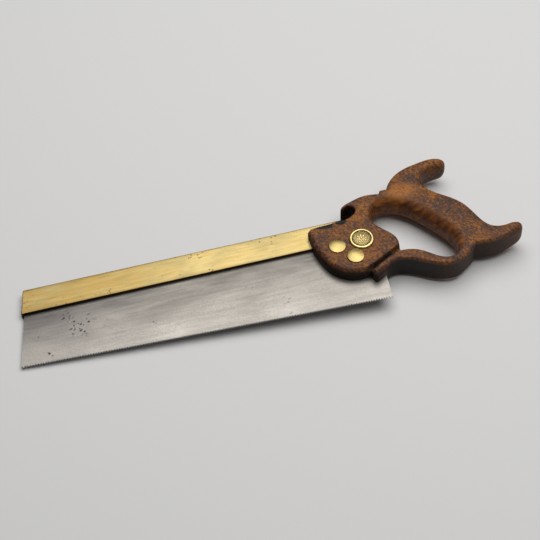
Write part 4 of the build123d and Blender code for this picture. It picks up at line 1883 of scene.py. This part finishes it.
    def paint(self, piece: bpy.types.Object) -> None:
        """Stores the grime low in the sunk field, thickest against the raised ring."""
        s = self.size
        flat = self.frame.flatten(coordinates(piece.data))
        away = np.linalg.norm(flat[:, :2] - np.array(s.centre), axis=1)
        floor = s.face + s.rim + s.rise - self.recess
        low = smooth_step(floor + 0.42, floor + 0.05, flat[:, 2])
        inner = s.head / 2 - self.ring_width
        within = smooth_step(inner + 0.15, inner - 0.2, away)
        ring = smooth_step(inner - 1.15, inner - 0.75, away) * within
        ring = ring * smooth_step(floor + 0.8, floor + 0.3, flat[:, 2])
        keep(piece.data, "grime_and_shade", np.maximum(0.68 * low * within, 0.93 * ring))

    def dress(self, brass: bpy.types.Material) -> bpy.types.Object:
        """Builds, ornaments, finishes and places the medallion bolt."""
        piece = self.body()
        self.ornament(piece, brass)
        soften(piece.data, 40.0)
        self.frame.place(piece.data)
        self.paint(piece)
        return fitted(piece, [self.node])


@dataclass
class SplitNut:
    """A round nut let in flush on the right side, with two driver slots."""

    frame: SawFrame
    size: BoltSize
    node: str
    slot_width: float = 1.6
    slot_depth: float = 1.2
    slot_length: float = 2.6

    def dress(self, brass: bpy.types.Material) -> bpy.types.Object:
        """Builds, slots, finishes and places the nut."""
        s = self.size
        face = -s.face + s.nut_sink
        back = face + s.nut_thickness
        outer, bore = s.nut / 2, s.shank / 2 + 0.05
        count = 96
        profile = [
            (bore, face + 0.1),
            (bore + 0.1, face),
            (outer - 0.15, face),
            (outer, face + 0.15),
            (outer, back),
            (bore, back),
        ]
        points, faces = [], []
        for i in range(count):
            angle = math.tau * i / count
            for r, z in profile:
                points.append(
                    (s.centre[0] + r * math.cos(angle), s.centre[1] + r * math.sin(angle), z)
                )
        rows = len(profile)
        for i in range(count):
            j = (i + 1) % count
            for r in range(rows):
                q = (r + 1) % rows
                faces.append((i * rows + r, i * rows + q, j * rows + q, j * rows + r))
        nut = object_from(self.node + "_slotted", np.array(points), faces)
        for sign in (1, -1):
            near, far = outer - self.slot_length, outer + 0.5
            x = sorted((s.centre[0] + sign * near, s.centre[0] + sign * far))
            half = self.slot_width / 2
            y = s.centre[1]
            shape = [(x[0], y - half), (x[1], y - half), (x[1], y + half), (x[0], y + half)]
            cut_out(nut, block("slot", shape, face - 0.5, face + self.slot_depth))
        nut.data.materials.clear()
        nut.data.materials.append(brass)
        soften(nut.data, 35.0)
        self.frame.place(nut.data)
        return fitted(nut, [self.node])


# ---------------------------------------------------------------- the studio


@dataclass
class Studio:
    """A pale floor, one soft light, the sky and the camera.

    target and distance are in mm, the lamp's place and size in metres, the angles in
    degrees.
    """

    target: tuple[float, float, float] = (1.94, -6.04, 8.0)
    azimuth: float = -14.35
    elevation: float = 52.71
    roll: float = 0.15
    distance: float = 1351.9
    lens: float = 108.82
    floor_size: float = 8.0
    sky: Colour = (0.80, 0.80, 0.82)
    sky_strength: float = 0.10
    lamp_place: tuple[float, float, float] = (0.30, 0.30, 1.50)
    lamp_aim: tuple[float, float, float] = (0.02, 0.0, 0.0)
    lamp_size: tuple[float, float] = (2.0, 1.6)
    lamp_power: float = 26.0
    lamp_colour: Colour = (1.0, 0.99, 0.97)

    def camera(self) -> None:
        """Sets the scene's camera."""
        a, e, r = (math.radians(v) for v in (self.azimuth, self.elevation, self.roll))
        back = Vector(
            (math.sin(a) * math.cos(e), -math.cos(a) * math.cos(e), math.sin(e))
        )
        right = Vector((math.cos(a), math.sin(a), 0))
        up = back.cross(right)
        turned_right = math.cos(r) * right + math.sin(r) * up
        turned_up = -math.sin(r) * right + math.cos(r) * up
        data = bpy.data.cameras.new("camera")
        data.lens = self.lens
        data.sensor_width = 36.0
        data.clip_end = 50.0
        eye = bpy.data.objects.new("camera", data)
        bpy.context.scene.collection.objects.link(eye)
        place = (Vector(self.target) + back * self.distance) * MM
        eye.matrix_world = Matrix.Translation(place) @ Matrix(
            (turned_right, turned_up, back)
        ).transposed().to_4x4()
        bpy.context.scene.camera = eye

    def light(self) -> None:
        """Adds the rectangular soft light, aimed at a point near the saw's middle."""
        data = bpy.data.lights.new("soft_box", "AREA")
        data.shape = "RECTANGLE"
        data.size, data.size_y = self.lamp_size
        data.energy = self.lamp_power
        data.color = self.lamp_colour
        lamp = bpy.data.objects.new("soft_box", data)
        bpy.context.scene.collection.objects.link(lamp)
        lamp.location = self.lamp_place
        away = Vector(self.lamp_place) - Vector(self.lamp_aim)
        lamp.rotation_euler = away.to_track_quat("Z", "Y").to_euler()

    def build(self) -> None:
        """Makes the floor, the light, the sky and the camera."""
        half = self.floor_size / 2
        signs = ((-1, -1), (1, -1), (1, 1), (-1, 1))
        corners = np.array([(half * a, half * b, 0) for a, b in signs])
        floor = object_from("floor", corners, [(0, 1, 2, 3)])
        floor.data.materials.append(PaleFloor().make())
        self.light()
        world = bpy.data.worlds.new("sky")
        world.use_nodes = True
        sky = world.node_tree.nodes["Background"]
        sky.inputs["Color"].default_value = (*self.sky, 1.0)
        sky.inputs["Strength"].default_value = self.sky_strength
        bpy.context.scene.world = world
        bpy.context.scene.view_settings.view_transform = "Standard"
        self.camera()


# ---------------------------------------------------------------- the saw


@dataclass
class BackSaw:
    """The whole saw."""

    frame: SawFrame
    bolts: dict[str, BoltSize] = field(
        default_factory=lambda: {
            "front": BoltSize((272.5, 41.0)),
            "lower": BoltSize((284.3, 27.4)),
            "medallion": BoltSize((293.7, 42.7), head=20.6, nut=13.0, rise=1.0),
        }
    )

    def build(self) -> list[bpy.types.Object]:
        """Builds every piece in order and returns them."""
        steel = BladeSteel().make()
        # the back's brass is painted darker towards the toe, as shade
        strip = RubbedBrass(toe_painted_shade=True).make()
        heads = RubbedBrass(
            name="polished_bolt_brass",
            light=(0.62, 0.49, 0.20),
            dark=(0.42, 0.30, 0.11),
            grain=(90.0, 90.0, 90.0),
            specks=0.35,
            roughness=0.40,
        ).make()
        crest = RubbedBrass(
            name="medallion_brass_grimed",
            light=(0.76, 0.61, 0.27),
            dark=(0.55, 0.40, 0.16),
            grain=(120.0, 120.0, 120.0),
            specks=0.4,
            roughness=0.30,
        ).make()
        wood = VarnishedWood().make()
        pieces = [
            SawPlate(self.frame).dress(steel),
            FoldedBack(self.frame).dress(strip),
            Handle(self.frame).dress(wood, list(self.bolts.values())),
            DomedBolt(self.frame, self.bolts["front"], "front_bolt").dress(heads),
            DomedBolt(self.frame, self.bolts["lower"], "lower_bolt").dress(heads),
            MedallionBolt(self.frame, self.bolts["medallion"], "medallion_bolt").dress(crest),
        ]
        for name, size in self.bolts.items():
            pieces.append(SplitNut(self.frame, size, f"{name}_split_nut").dress(heads))
        return pieces


def main() -> None:
    """Builds the saw and its studio."""
    logging.basicConfig(level=logging.INFO, format="%(name)s: %(message)s")
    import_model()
    Studio().build()
    for piece in BackSaw(SawFrame()).build():
        LOG.info("%s: %d faces", piece.name, len(piece.data.polygons))


if __name__ == "__main__":
    main()
